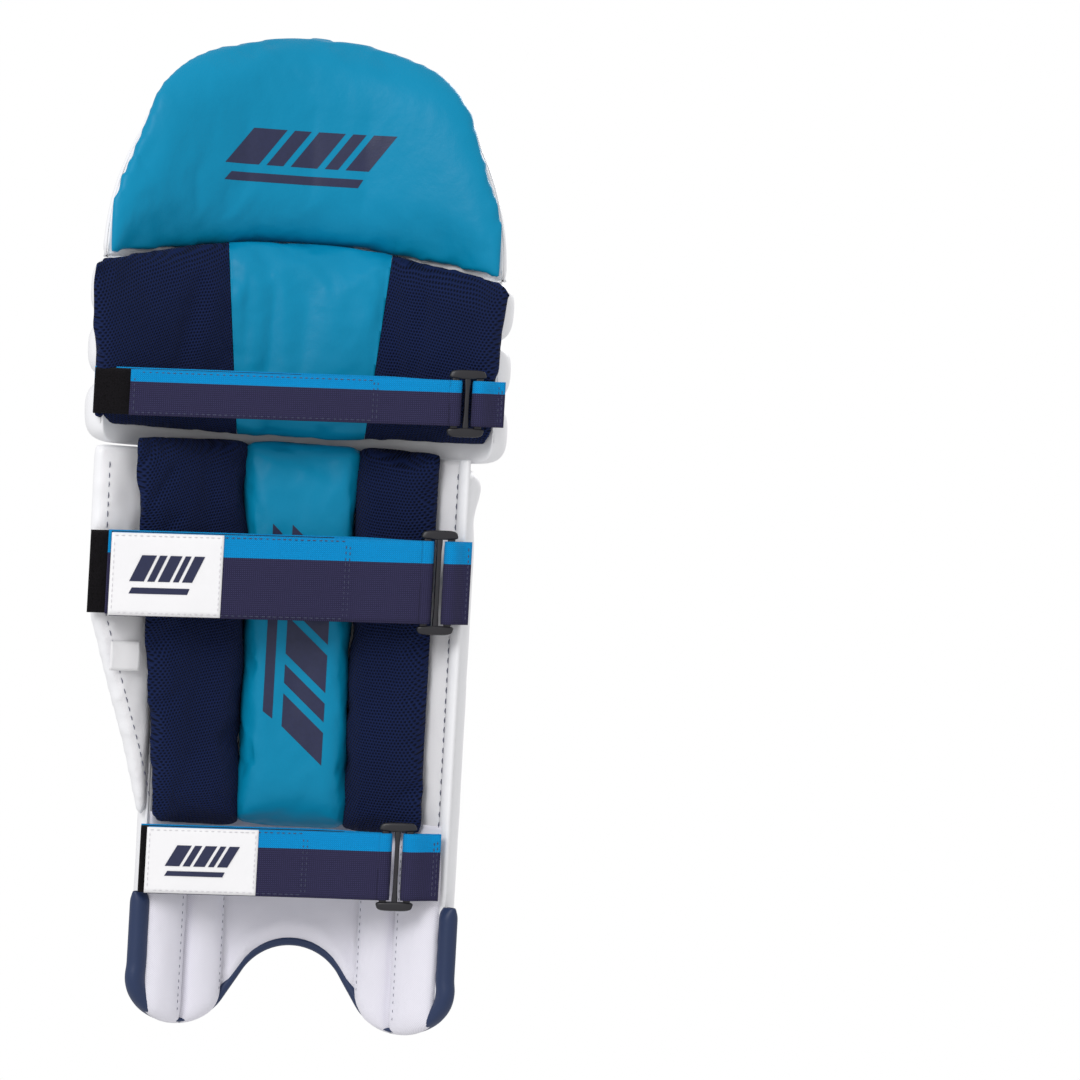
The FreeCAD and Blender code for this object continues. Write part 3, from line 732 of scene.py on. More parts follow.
def bend_plan(base, depth, low_deg, high_deg, tip=None, lean=0.9):
    """Plan of a bend, `depth` behind its sewn surface, with a straight run to a tip if one is given."""
    angle = np.radians(np.linspace(low_deg, high_deg, 60))
    r = base - depth
    points = np.stack([AXIS_X + r * np.sin(angle), CREST_Y + base - r * np.cos(angle)], -1)
    if tip is not None:
        points = np.concatenate([points, np.linspace(points[-1], tip, 12)[1:]])
    return Plan(points, lean)


# ---- pillows
def edge_distance(outline, pts, closed=True):
    """Distance of each point from an outline."""
    best = np.full(len(pts), 1e9)
    ends = np.roll(outline, -1, 0) if closed else outline[1:]
    for p, q in zip(outline, ends):
        d = q - p
        t = np.clip(((pts - p) @ d) / max(d @ d, 1e-9), 0, 1)
        best = np.minimum(best, np.linalg.norm(pts - p - t[:, None] * d, axis=1))
    return best


def resample(outline, step):
    closed = np.concatenate([outline, outline[:1]])
    run = run_of(closed)
    n = max(24, int(run[-1] / step))
    return sample(np.linspace(0, run[-1], n, endpoint=False), run, closed)


def pillow(name, plan, outline, thickness, rounding, step=4.0, low_back=0.35):
    """A closed soft shell over an outline in (along, z). thickness(a, z) is its full depth; its edge is
    rounded over `rounding` mm. A share low_back of the edge's height is in front of its widest line."""
    rim = resample(np.asarray(outline, float), step)
    centre = (rim.max(0) + rim.min(0)) / 2
    reach = np.linalg.norm(rim - centre, axis=1).max()
    rings = max(6, int(reach / step))
    flat = np.concatenate([[centre]] + [centre + (rim - centre) * s for s in np.linspace(0, 1, rings + 1)[1:]])
    d = np.clip(edge_distance(rim, flat) / rounding, 0, 1)
    d[-len(rim):] = 0
    swell = quarter(d)
    full = thickness(flat[:, 0], flat[:, 1])
    waist = full * low_back
    back = waist + (full - waist) * swell
    front = waist * (1 - swell)
    inner = len(flat) - len(rim)
    verts = np.concatenate([plan.at(*flat.T, back), plan.at(*flat[:inner].T, front[:inner])])
    m, shift = len(rim), len(flat)
    faces = [(0, 1 + j, 1 + (j + 1) % m) for j in range(m)]
    faces += [(shift, shift + 1 + (j + 1) % m, shift + 1 + j) for j in range(m)]
    for a, b, c, e in grid_faces(rings, m, around=True, offset=1):
        faces.append((a, e, c, b))
        # the outermost ring belongs to both sides
        faces.append(tuple(i if i >= inner else shift + i for i in (a, b, c, e)))
    piece = make(name, verts, faces)
    face_outwards(piece, MERGE)
    add = piece.modifiers.new("even", "REMESH")
    add.mode = "VOXEL"
    add.voxel_size = step * MM
    even = piece.modifiers.new("even_out", "SMOOTH")
    even.factor = 0.5
    even.iterations = 5
    apply_modifiers(piece)
    return piece


def hold(piece, plan, near):
    """The points of a pillow that lie against the pad, as a vertex group with weight 1."""
    p = points_of(piece)
    tree = KDTree(len(plan.points))
    for i, q in enumerate(plan.points):
        tree.insert((q[0], q[1], 0), i)
    tree.balance()
    held = []
    for i, q in enumerate(p):
        _, _, away = tree.find((q[0], q[1], 0))
        if away < near:
            held.append(i)
    group = piece.vertex_groups.new(name="held")
    group.add(held, 1.0, "REPLACE")


CLOTH = {"quality": 6, "mass": 0.12, "tension_stiffness": 18, "compression_stiffness": 18,
         "shear_stiffness": 8, "bending_stiffness": 0.4, "use_pressure": True}


def stuff(piece, plan, near, pressure, spare, frames=14, limit=6.0):
    """Cloth simulation of the cover: the filling pushes its little spare cloth out into creases."""
    before = points_of(piece)
    hold(piece, plan, near)
    cloth = piece.modifiers.new("cover", "CLOTH")
    s = cloth.settings
    for name, value in CLOTH.items():
        setattr(s, name, value)
    s.shrink_min = s.shrink_max = -spare
    s.uniform_pressure_force = pressure
    s.vertex_group_mass = "held"
    s.effector_weights.gravity = 0
    cloth.collision_settings.use_collision = False
    cloth.point_cache.frame_start, cloth.point_cache.frame_end = 1, frames
    scene = bpy.context.scene
    for f in range(1, frames + 1):
        scene.frame_set(f)
    apply_modifiers(piece)
    scene.frame_set(1)
    piece.vertex_groups.clear()
    move = points_of(piece) - before
    size = np.linalg.norm(move, axis=1)
    keep = limit * np.tanh(size / limit) / np.maximum(size, 1e-6)
    set_points(piece, before + move * keep[:, None])


def crease(piece, amount, size, stretch=1.0, seed=0.0, where=None):
    """Fine creases pressed into a soft piece along its normals."""
    p, n = points_of(piece), normals_of(piece)
    ridge = 1 - 2 * np.abs(fuzz(p[:, X] / size, (p[:, Z] + 0.6 * p[:, Y]) / (size * stretch), seed))
    push = amount * (ridge - 0.6) * smooth(n[:, Y] / 0.6)
    if where is not None:
        push = push * where(p)
    set_points(piece, p + n * push[:, None])


# ---- the white front below the knee
def seam_angle(k):
    return FIRST_SEAM + PITCH * k


def which_channel(angle, first, pitch, count):
    """The channel that an angle falls in, and its place across it, from -1 to 1."""
    k = np.clip(np.floor((angle - first) / pitch), 0, count - 1)
    s = np.clip(2 * ((angle - first) / pitch - k) - 1, -1, 1)
    return k.astype(int), s


def cushion(r, power=2.4, root=0.55):
    return (1 - np.clip(r, 0, 1) ** power) ** root


INSTEP = [k for k in range(CHANNELS) if low(f"shin_filling_{k + 1}", Z) > 100]
CHANNEL_FOOT = np.array([low(f"shin_filling_{k + 1}", Z) + (14 if k in INSTEP else 7) for k in range(CHANNELS)])
CHANNEL_TOP = SHIN_TOP + 0.5
CHANNEL_RISE = 25.0
INSTEP_RISE = 15.0
INSTEP_HEAD = CHANNEL_FOOT[INSTEP[0]] + 3
BULB = 19.0                     # a channel rounds off over this height at each of its ends
RIDGE_AT = 0.16                 # place of the cane's ridge across a channel, from -1 to 1
SHIN_RIM = 15.0                 # the front rounds off over this height at its lower edge


def shin_height(angle, x, z):
    """How far the white front stands off its sewn surface."""
    k, s = which_channel(angle, FIRST_SEAM, PITCH, CHANNELS)
    foot = CHANNEL_FOOT[k] + 2.0 * np.sin(3.1 * k)
    top = CHANNEL_TOP - 2.5 * np.abs(np.sin(2.3 * k + 1))
    end = np.clip(np.maximum((z - (top - BULB)) / BULB, (foot + BULB - z) / BULB), 0, 1)
    pad = cushion((np.abs(s) ** 2.4 + end ** 2.4) ** (1 / 2.4), 2.4, 0.55)
    ridge = np.clip(1 - np.abs(s - RIDGE_AT) / (1 - np.sign(s - RIDGE_AT) * RIDGE_AT), 0, 1) * (1 - end) ** 0.6
    bulb = np.exp(-((z - (top - 17)) / 13) ** 2) + np.exp(-((z - (foot + 17)) / 13) ** 2)
    neck = np.exp(-((z - (top - 42)) / 12) ** 2)
    h = CHANNEL_RISE * (0.64 * pad + 0.28 * ridge * pad ** 0.3 + (0.20 * bulb - 0.10 * neck) * pad)
    h += 0.5 * fuzz(angle / 3.0, z / 26.0, 2.0) * pad
    pucker = np.abs(s) ** 5 * (1 - end)
    h += pucker * 0.9 * fuzz(k * 5.0 + s * 2, z / 4.5, 7.0)
    inside = np.isin(k, INSTEP) & (z < INSTEP_HEAD)
    lo, hi = seam_angle(INSTEP[0]), seam_angle(INSTEP[-1] + 1)
    u = np.clip(2 * (angle - lo) / (hi - lo) - 1, -1, 1)
    floor = foot_bottom(x)
    v = np.clip(2 * (z - floor) / np.maximum(INSTEP_HEAD - floor, 1) - 1, -1, 1)
    panel = INSTEP_RISE * (1 - np.abs(u) ** 5) ** 0.5 * (1 - np.abs(v) ** 4) ** 0.5
    gather = smooth((v - 0.35) / 0.65)
    panel += gather * (1 - np.abs(v) ** 8) * 1.5 * fuzz(x / 4.2, z / 30.0, 3.0)
    panel += 0.9 * fuzz(x / 22.0, z / 15.0, 9.0) * (1 - np.abs(u) ** 3)
    h = np.where(inside, np.maximum(panel, h), h)
    return 1.2 + h * quarter(np.clip((z - floor) / SHIN_RIM, 0, 1))


def column_angles(first, pitch, count, per=18):
    t = np.sin(np.linspace(-1, 1, per + 1) * math.pi / 2)
    rows = [first + pitch * (k + (t[:-1] + 1) / 2) for k in range(count)]
    return np.concatenate(rows + [[first + pitch * count]])


def shin_front():
    angle = column_angles(FIRST_SEAM, PITCH, CHANNELS)
    x = bend_x(SHIN_R, angle)
    z = mix(foot_bottom(x)[None, :] + 1.5, SHIN_TOP + 1.5, np.linspace(0, 1, 200)[:, None])
    a, xs = np.broadcast_to(angle, z.shape), np.broadcast_to(x, z.shape)
    h = shin_height(a, xs, z)
    pts = bend(SHIN_R, xs, z, h)
    hem = ((-3.4, -2.6), (-3.2, -3.3), (-1.5, -3.9), (0.2, -3.6), (0.7, -2.2), (0.6, -0.6))
    turned_in = ((0.6, -0.4), (0.4, -2.2))
    last = seam_angle(CHANNELS)
    edge_left = np.stack([bend(SHIN_R, bend_x(SHIN_R, FIRST_SEAM - d), z[:, 0], e) for d, e in hem], 1)
    edge_right = np.stack([bend(SHIN_R, bend_x(SHIN_R, last + d), z[:, -1], e) for d, e in turned_in], 1)
    pts = np.concatenate([edge_left, pts, edge_right], 1)
    piece = sheet_piece("shin_front", pts, np.stack([run_across(pts), pts[..., Z]], -1), 1.1)
    nodes = ["shin_face_cover", "instep_cover", "instep_filling"]
    nodes += [f"shin_filling_{k + 1}" for k in range(CHANNELS)]
    return stand_in(piece, WHITE, "white_cover", "shin", nodes, 0.85)


def shin_seams(surface):
    """Navy stitching down the seams between the channels, over the instep panel and inside the hem behind."""
    rows = []
    for k in range(0, CHANNELS + 1):
        x = bend_x(SHIN_R, seam_angle(k) + (1.2 if k == 0 else -1.2 if k == CHANNELS else 0))
        floor = INSTEP_HEAD if INSTEP[0] < k <= INSTEP[-1] else foot_bottom(x) + 18
        if k in (0, CHANNELS):
            floor = high("bottom_binding", Z) + 6
        rows.append(surface.row([(x, CHANNEL_TOP - 3), (x, floor)], 4.4, 3.6))
    lo, hi = bend_x(SHIN_R, seam_angle(INSTEP[0])), bend_x(SHIN_R, seam_angle(INSTEP[-1] + 1))
    rows.append(surface.row([(lo, INSTEP_HEAD + 1), (hi, INSTEP_HEAD + 1)], 4.0, 3.6))
    zs = np.linspace(high("bottom_binding", Z) + 4, SHIN_TOP - 4, 110)
    x = bend_x(SHIN_R, FIRST_SEAM + 2.9)
    line = bend(SHIN_R, x, zs, -4.0)
    rows.append((line, bend(SHIN_R, x, zs, -5.0) - line, {"length": 4.2, "gap": 3.4}))
    return sewing("shin_stitching", rows, "shin")


def shin_back():
    """The lining behind the shin."""
    angle = np.linspace(FIRST_SEAM, seam_angle(CHANNELS), 90)
    x = bend_x(SHIN_R, angle)
    t = np.linspace(0, 1, 90)[:, None]
    z = mix(foot_bottom(x)[None, :] + 2, SHIN_TOP, t)
    xs = np.broadcast_to(x, z.shape)
    outer = np.clip((np.abs(angle) - 30) / 16, 0, 1)[None, :]
    h = -1.6 + 0.8 * fuzz(xs / 11, z / 30, 4.0) * outer
    pts = bend(SHIN_R, xs, z, h)
    uv = np.stack([np.broadcast_to(np.radians(angle) * SHIN_R, z.shape), z], -1)
    lining = sheet_piece("shin_lining_cloth", pts, uv, 0.8, LEG_SIDE)
    return stand_in(lining, LINING, "lining", "shin", ["shin_lining"])


FOOT_SEAMS = (-129.5, -96.0, -68.0, 35.6, 65.8, 95.5)
FOOT_PAD_TOP = 158.0
LOBE_HANG = 2.6                       # how far the padding hangs below the pad's lower edge


def foot_padding():
    """The quilted padding behind the foot: five upright lobes, the middle one flatter and over the arch."""
    spans = [np.linspace(a, b, 19)[:-1] for a, b in zip(FOOT_SEAMS, FOOT_SEAMS[1:])]
    xs = np.concatenate(spans + [[FOOT_SEAMS[-1]]])
    xs = np.clip(xs, bend_x(SHIN_R, FIRST_SEAM) + 1, bend_x(SHIN_R, seam_angle(CHANNELS)) - 1)
    t = np.linspace(0, 1, 70)[:, None]
    out = np.abs(xs - FOOT_X)
    lobe = smooth((out - 52) / 10) * smooth((114 - out) / 8)
    floor = foot_bottom(xs)[None, :] + np.where(out < 52, 3.0, 0.4) - LOBE_HANG * lobe
    z = mix(floor, FOOT_PAD_TOP, t)
    x = np.broadcast_to(xs, z.shape)
    k = np.clip(np.searchsorted(FOOT_SEAMS, x, side="right") - 1, 0, len(FOOT_SEAMS) - 2)
    lo, hi = np.array(FOOT_SEAMS)[k], np.array(FOOT_SEAMS)[k + 1]
    s = np.clip(2 * (x - lo) / (hi - lo) - 1, -1, 1)
    middle = k == 2
    rise = np.where(middle, 5.0, 11.0)
    rim = np.clip((z - floor) / np.where(middle, 22.0, 16.0), 0, 1)
    puff = cushion(np.abs(s), np.where(middle, 6.0, 2.4), 0.55) * quarter(rim)
    puff = puff * (1 - 0.75 * smooth((z - 110) / 45))
    wrinkle = 0.9 * fuzz(x / 9.0, z / 24.0, 5.0) + 0.45 * fuzz(x / 4.0, z / 9.0, 6.0)
    h = -2.2 - rise * puff - wrinkle * (0.25 + 0.75 * np.abs(s)) * rim
    h = h - 2.2 * middle * np.exp(-((z - floor - 12) / 9) ** 2)
    pts = bend(SHIN_R, x, z, h)
    piece = sheet_piece("foot_padding", pts, np.stack([x, z], -1), 1.0, LEG_SIDE)
    stand_in(piece, FOOT_LINING, "lining", "shin", ["ankle_padding"], 0.5)
    behind = Surface([piece], 1)
    seams = [[(a, float(foot_bottom(a)) + 7), (a, FOOT_PAD_TOP - 8)] for a in FOOT_SEAMS[1:-1]]
    sewing("foot_padding_stitching", [behind.row(seam, 2.4, 3.2, radius=0.27) for seam in seams], "shin")
    return piece


# ---- the binding round the foot
def foot_path():
    """The pad's lower edge from one side to the other: points, directions into the pad, and distances along."""
    side_top = high("bottom_binding", Z)
    side = np.linspace((FOOT_HALF, 42), (FOOT_HALF, side_top), 14)[1:]
    half = np.concatenate([FOOT, side])
    full = np.concatenate([half[::-1] * (-1, 1), half[1:]])
    run = run_of(full)
    at = np.linspace(0, run[-1], int(run[-1] / 3.0))
    p = sample(at, run, full)
    along = np.gradient(p, axis=0)
    for _ in range(3):
        along[1:-1] = (along[:-2] + 2 * along[1:-1] + along[2:]) / 4
    along = unit(along)
    inward = np.stack([-along[:, 1], along[:, 0]], -1)
    return p, inward, at


BINDING_FRONT = 6.2             # width of the binding in front
BINDING_SIDES = (8.5, 7.0)      # and behind, at the wing side and the other side
STITCH_SHARE = 0.62             # its stitches lie this share of its width in


def foot_binding():
    """Tape folded over the lower edge: narrow under the lobes and the arch, wider behind at the two sides."""
    p, inward, run = foot_path()
    side = np.maximum(smooth((p[:, 1] - 30) / 30) * (np.abs(p[:, 0]) > 95), smooth((np.abs(p[:, 0]) - 98) / 9))
    under = mix(5.2, 1.2, smooth((np.abs(p[:, 0]) - 48) / 14))
    back_width = mix(under, np.where(p[:, 0] > 0, *BINDING_SIDES), side)
    thick = mix(1.0, 1.15, side) * np.clip((run[-1] / 2 - np.abs(run - run[-1] / 2)) / 10 + 0.35, 0, 1)
    front_width = np.full(len(p), BINDING_FRONT)
    section = [(1.0, 1.7, 0), (0.75, 4.0, 0), (0.3, 4.9, 0), (0.0, 3.6, 0), (-0.12, 1.2, 0), (-0.12, -1.4, 0),
               (0.0, -4.2, 1), (0.3, -5.4, 1), (0.75, -5.0, 1), (1.0, -2.6, 1)]
    cols = []
    for share, depth, behind in section:
        width = back_width if behind else front_width
        wobble = 0.35 * fuzz(run / 7.0, share * 3, 2.0)
        q = p + inward * (share * width + (share > 0.9) * wobble)[:, None]
        cols.append(bend(SHIN_R, q[:, 0] + FOOT_X, q[:, 1], depth * thick + wobble * 0.4))
    pts = np.stack(cols, 1)
    widths = run_across(pts)
    uv = np.stack([widths, np.broadcast_to(run[:, None], widths.shape)], -1)
    piece = sheet_piece("foot_binding", pts, uv, 0.9)
    subdivide(piece)
    stand_in(piece, BINDING, "binding", "shin", ["bottom_binding"])
    rows = []
    for depth, width in ((4.3, front_width), (-5.2, back_width)):
        q = p + inward * (width * STITCH_SHARE)[:, None]
        line = bend(SHIN_R, q[:, 0] + FOOT_X, q[:, 1], depth * thick)
        away = bend(SHIN_R, q[:, 0] + FOOT_X, q[:, 1], depth * thick + math.copysign(1, depth)) - line
        rows.append((line, away, {"length": 2.6, "gap": 2.4, "radius": 0.35}))
    sewing("foot_binding_stitching", rows, "shin")
    return piece


# ---- knee rolls
ROLL_RISE = 38.0
ROLL_HALF = high("knee_roll_middle_cover", X)
ROLL_ROUND = 26.0               # its ends are rounded over this length
ROLL_BACK = 3.5                 # how far it swells behind the sewn surface
ROLL_SAG = 2.5                  # the middle of a roll hangs this much lower than its ends
ROLLS = ("lower", "middle", "upper")


def roll_piece(name, z0, z1):
    """One stuffed roll across the knee: a closed tube, flat behind, with rounded ends."""
    xs = ROLL_HALF * np.sin(np.linspace(-1, 1, 150) * math.pi / 2 * 0.995) / math.sin(math.pi / 2 * 0.995)
    turn = np.linspace(0, 2 * math.pi, 56, endpoint=False)
    x, a = np.meshgrid(xs, turn, indexing="ij")
    over = np.clip((np.abs(x) - (ROLL_HALF - ROLL_ROUND)) / ROLL_ROUND, 0, 1)
    end = (1 - over ** 2.2) ** (1 / 2.2)
    tall = (1 - over ** 4.5) ** (1 / 3.0)
    half = (z1 - z0) / 2
    up, out = np.cos(a), np.sin(a)
    t = np.sign(up) * np.abs(up) ** 0.8
    front = out > 0
    t = np.where(front, t, np.sign(up) * np.abs(up) ** 0.5)
    h = np.where(front, ROLL_RISE * np.abs(out) ** 0.66 * (0.12 + 0.88 * end), -ROLL_BACK * np.abs(out) ** 0.5)
    z = (z0 + z1) / 2 + half * t * (0.12 + 0.88 * tall) - ROLL_SAG * (1 - (x / ROLL_HALF) ** 2)
    seam = np.abs(t) ** 6 * front
    h = h - seam * 1.6 * (0.5 + 0.5 * fuzz(x / 7.0, t * 2 + z0, 3.0))
    h = h + front * (1.1 * fuzz(x / 34.0, z / 20.0, 6.0) + 0.35 * fuzz(x / 8.0, z / 26.0, 1.0))
    pts = bend(KNEE_R, x, z, h)
    for side in (-1, 1):
        reach = (pts[..., X] * side).max()
        squeeze = np.interp(pts[..., X] * side, (0, 70, reach), (1, 1, (ROLL_HALF - 1) / reach))
        pts[..., X] *= squeeze
    uv = np.stack([x, z + h], -1)
    n, m = x.shape
    verts = np.concatenate([pts.reshape(-1, 3), [pts[0].mean(0), pts[-1].mean(0)]])
    uvs = np.concatenate([uv.reshape(-1, 2), [uv[0].mean(0), uv[-1].mean(0)]])
    faces = grid_faces(n, m, around=True)
    faces += [(n * m, (j + 1) % m, j) for j in range(m)]
    faces += [(n * m + 1, (n - 1) * m + j, (n - 1) * m + (j + 1) % m) for j in range(m)]
    piece = make(name, verts, faces, uvs)
    face_outwards(piece, MERGE)
    return piece


def knee_rolls():
    made = []
    for i, part in enumerate(ROLLS):
        piece = roll_piece(f"knee_roll_{part}", SEAM_Z[i] - 0.4, SEAM_Z[i + 1] + 0.4)
        nodes = [f"knee_roll_{part}_cover", f"knee_roll_{part}_filling"]
        made.append(stand_in(piece, WHITE, "white_cover", f"knee_{part}", nodes, 0.85))
    return made


def roll_stitching(surface):
    for part, z in zip(ROLLS, SEAM_Z):
        xs = np.linspace(-ROLL_HALF + 14, ROLL_HALF - 14, 60)
        zs = z + 2.4 - ROLL_SAG * (1 - (xs / ROLL_HALF) ** 2)
        sewing(f"roll_{part}_stitching", [surface.row(np.stack([xs, zs], -1), 3.6, 3.4)], f"knee_{part}")


# ---- top hat
HAT_FIRST = -32.0
HAT_PITCH = 10.8
HAT_CHANNELS = 6
HAT_RISE = 19.0
HAT_RIM = 16.0                  # the front rounds off over this width at the dome's edge
HAT_FOOT = 11.0                 # and over this height at its foot
DOME_LINE = np.concatenate([DOME, (DOME * (-1, 1))[::-1]]) + (0, TOP_SEAM)


def dome_columns():
    """x of each column of the top hat: close together near the edges, and at the seams between channels."""
    seams = bend_x(KNEE_R, HAT_FIRST + HAT_PITCH * np.arange(HAT_CHANNELS + 1))
    share = (np.sin(np.linspace(-1, 1, 17) * math.pi / 2) + 1)[:-1] / 2
    inner = [mix(a, b, share) for a, b in zip(seams, seams[1:])]
    left = -DOME_HALF + (seams[0] + DOME_HALF) * np.linspace(0, 1, 26)[:-1] ** 1.5
    right = DOME_HALF - (DOME_HALF - seams[-1]) * np.linspace(1, 0, 34) ** 1.5
    return np.concatenate([left] + inner + [right])


def hat_grid(rows, closed):
    """A grid over the top hat, and each point's distance from its edge, which has its foot too if closed."""
    xs = dome_columns()
    z = mix(TOP_SEAM - 1.5, dome_top(xs)[None, :], np.linspace(0, 1, rows)[:, None])
    x = np.broadcast_to(xs, z.shape)
    away = edge_distance(DOME_LINE, np.stack([x.ravel(), z.ravel()], -1), closed)
    return x, z, away.reshape(x.shape)


def top_hat_front():
    x, z, away = hat_grid(120, closed=False)
    angle = np.degrees(np.arcsin(np.clip((x - AXIS_X) / KNEE_R, -1, 1)))
    k, s = which_channel(angle, HAT_FIRST, HAT_PITCH, HAT_CHANNELS)
    last = HAT_FIRST + HAT_PITCH * HAT_CHANNELS
    before, after = angle < HAT_FIRST, angle > last
    s = np.where(before, np.clip((angle - HAT_FIRST) / 12 + 1, 0, 1), s)
    s = np.where(after, np.clip(1 - (angle - last) / 9, 0, 1), s)
    rise = np.where(before, 0.7, np.where(after, 0.62, 1.0)) * HAT_RISE
    foot = np.clip((z - TOP_SEAM + 2.5) / HAT_FOOT, 0, 1)
    rim = np.clip(away / HAT_RIM, 0, 1)
    fade = quarter(foot) * quarter(rim)
    sharp = 2.4 + 3 * (1 - np.minimum(foot, rim))
    h = rise * (0.35 * fade + 0.65 * fade * cushion(np.abs(s), sharp, 0.5))
    edge_gather = np.exp(-away / 14) * np.clip(away / 5, 0, 1) + np.exp(-(z - TOP_SEAM) / 12)
    h = h + 1.1 * fuzz(x / 5.0, z / 40.0, 8.0) * edge_gather * ~after
    h = h + 0.9 * fuzz(x / 30.0, z / 34.0, 4.0) * fade
    h = h + 0.8 * fuzz(k * 4.0, z / 5.0, 3.0) * np.abs(s) ** 5 * fade
    piece = sheet_piece("top_hat_front", bend(KNEE_R, x, z, h + 0.2), np.stack([x, z], -1), 1.1)
    nodes = ["top_hat_face_cover", "top_hat_filling", "top_hat_side_filling"]
    return stand_in(piece, WHITE, "white_cover", "top_hat", nodes, 0.8)


def top_hat_back():
    """The casing behind the top hat: its edge shows round the thigh pad."""
    x, z, away = hat_grid(60, closed=True)
    h = -0.4 - 5.5 * quarter(np.clip(away / 11, 0, 1)) - 0.6 * fuzz(x / 12, z / 16, 2.0)
    piece = sheet_piece("top_hat_lining_cloth", bend(KNEE_R, x, z, h), np.stack([x, z], -1), 1.0, LEG_SIDE)
    return stand_in(piece, WHITE, "lining", "top_hat", ["top_hat_lining"])


def hat_seams(surface):
    rows = []
    for k in range(HAT_CHANNELS + 1):
        x = bend_x(KNEE_R, HAT_FIRST + HAT_PITCH * k)
        rows.append(surface.row([(x, TOP_SEAM + 9), (x, float(dome_top(x)) - 9)], 4.4, 3.4))
    xs = np.linspace(-140, 140, 80)
    rows.append(surface.row(np.stack([xs, np.full(80, TOP_SEAM + 5.5)], -1), 3.6, 3.4))
    return sewing("top_hat_stitching", rows, "top_hat")


# ---- the padded pieces behind
def arch_over(x, centre, side, half):
    return side + (centre - side) * np.clip(1 - (np.asarray(x) / half) ** 2, 0, 1)


def rounded_box(foot_a, head_a, low_z, high_z, r):
    """A closed outline with rounded corners, from its two sides at the foot and at the head."""
    (a0, b0), (a1, b1) = foot_a, head_a
    corners = [(a0, low_z), (b0, low_z), (b1, high_z), (a1, high_z)]
    out = []
    for i, c in enumerate(corners):
        c = np.array(c, float)
        before, after = np.array(corners[i - 1], float), np.array(corners[(i + 1) % 4], float)
        u = (before - c) / np.linalg.norm(before - c) * r
        v = (after - c) / np.linalg.norm(after - c) * r
        for t in np.linspace(0, 1, 7):
            out.append(c + u * (1 - t) ** 2 + v * t ** 2)
    return np.array(out)


def cover_pillow(piece, base, *looks):
    """Rounds a stuffed pillow and dresses it, as stand_in does."""
    subdivide(piece)
    wrap_uv(piece, base)
    return stand_in(piece, *looks)


PILLOW_FOOT = (586.5, 567.0, 150)     # height at the middle, at the ends, and half width
PILLOW_RIM = 5.5                      # how far the pillow stands above the dome's top edge


def thigh_pillow():
    depth = 3.0
    plan = bend_plan(KNEE_R, depth, -42.5, 55.0)
    lower_x = np.linspace(144, -144, 40)
    lower = np.stack([lower_x, arch_over(lower_x, *PILLOW_FOOT)], -1)
    crown = DOME[DOME[:, 1] > 71] * (0.996, 1)
    crown[:, 1] += TOP_SEAM + 2.0 + PILLOW_RIM * smooth((crown[:, 1] - 71) / 50)
    side = np.concatenate([[(148.5, 570.0), (148.0, 600.0), (143.5, 624.0)], crown[crown[:, 0] > 0]])
    outline = np.concatenate([side, (side * (-1, 1))[::-1], lower[::-1]])
    flat = np.stack([plan.along(outline[:, 0]), outline[:, 1]], -1)
    half = plan.length / 2

    def thickness(a, z):
        across = 1 - ((a - half) / half) ** 2
        return 11 + 20 * np.clip(across, 0, 1) ** 0.8 - 4 * smooth((z - 690) / 50)

    piece = pillow("top_hat_pillow", plan, flat, thickness, 30, 4.5, 0.3)
    stuff(piece, plan, 3.5, 2.2, 0.014)

    def near_foot(p):
        rise = p[:, Z] - arch_over(p[:, X], *PILLOW_FOOT)
        return np.exp(-np.clip(rise, 0, 99) / 13) + 0.2

    crease(piece, 1.5, 15.0, 2.6, 5.0, near_foot)
    return cover_pillow(piece, KNEE_R, TEAL, "teal_cover", "top_hat", ["top_hat_pad"], 0.7)


SLANT_TOP, SLANT_FOOT = (-64.5, 58.5), (-51.0, 45.0)
BOLSTER_FOOT_Z, BOLSTER_HEAD_Z = 444.5, 566.0


def slant_x(z, side):
    t = (np.asarray(z) - 444) / 140.0
    return mix(SLANT_FOOT[side], SLANT_TOP[side], t)


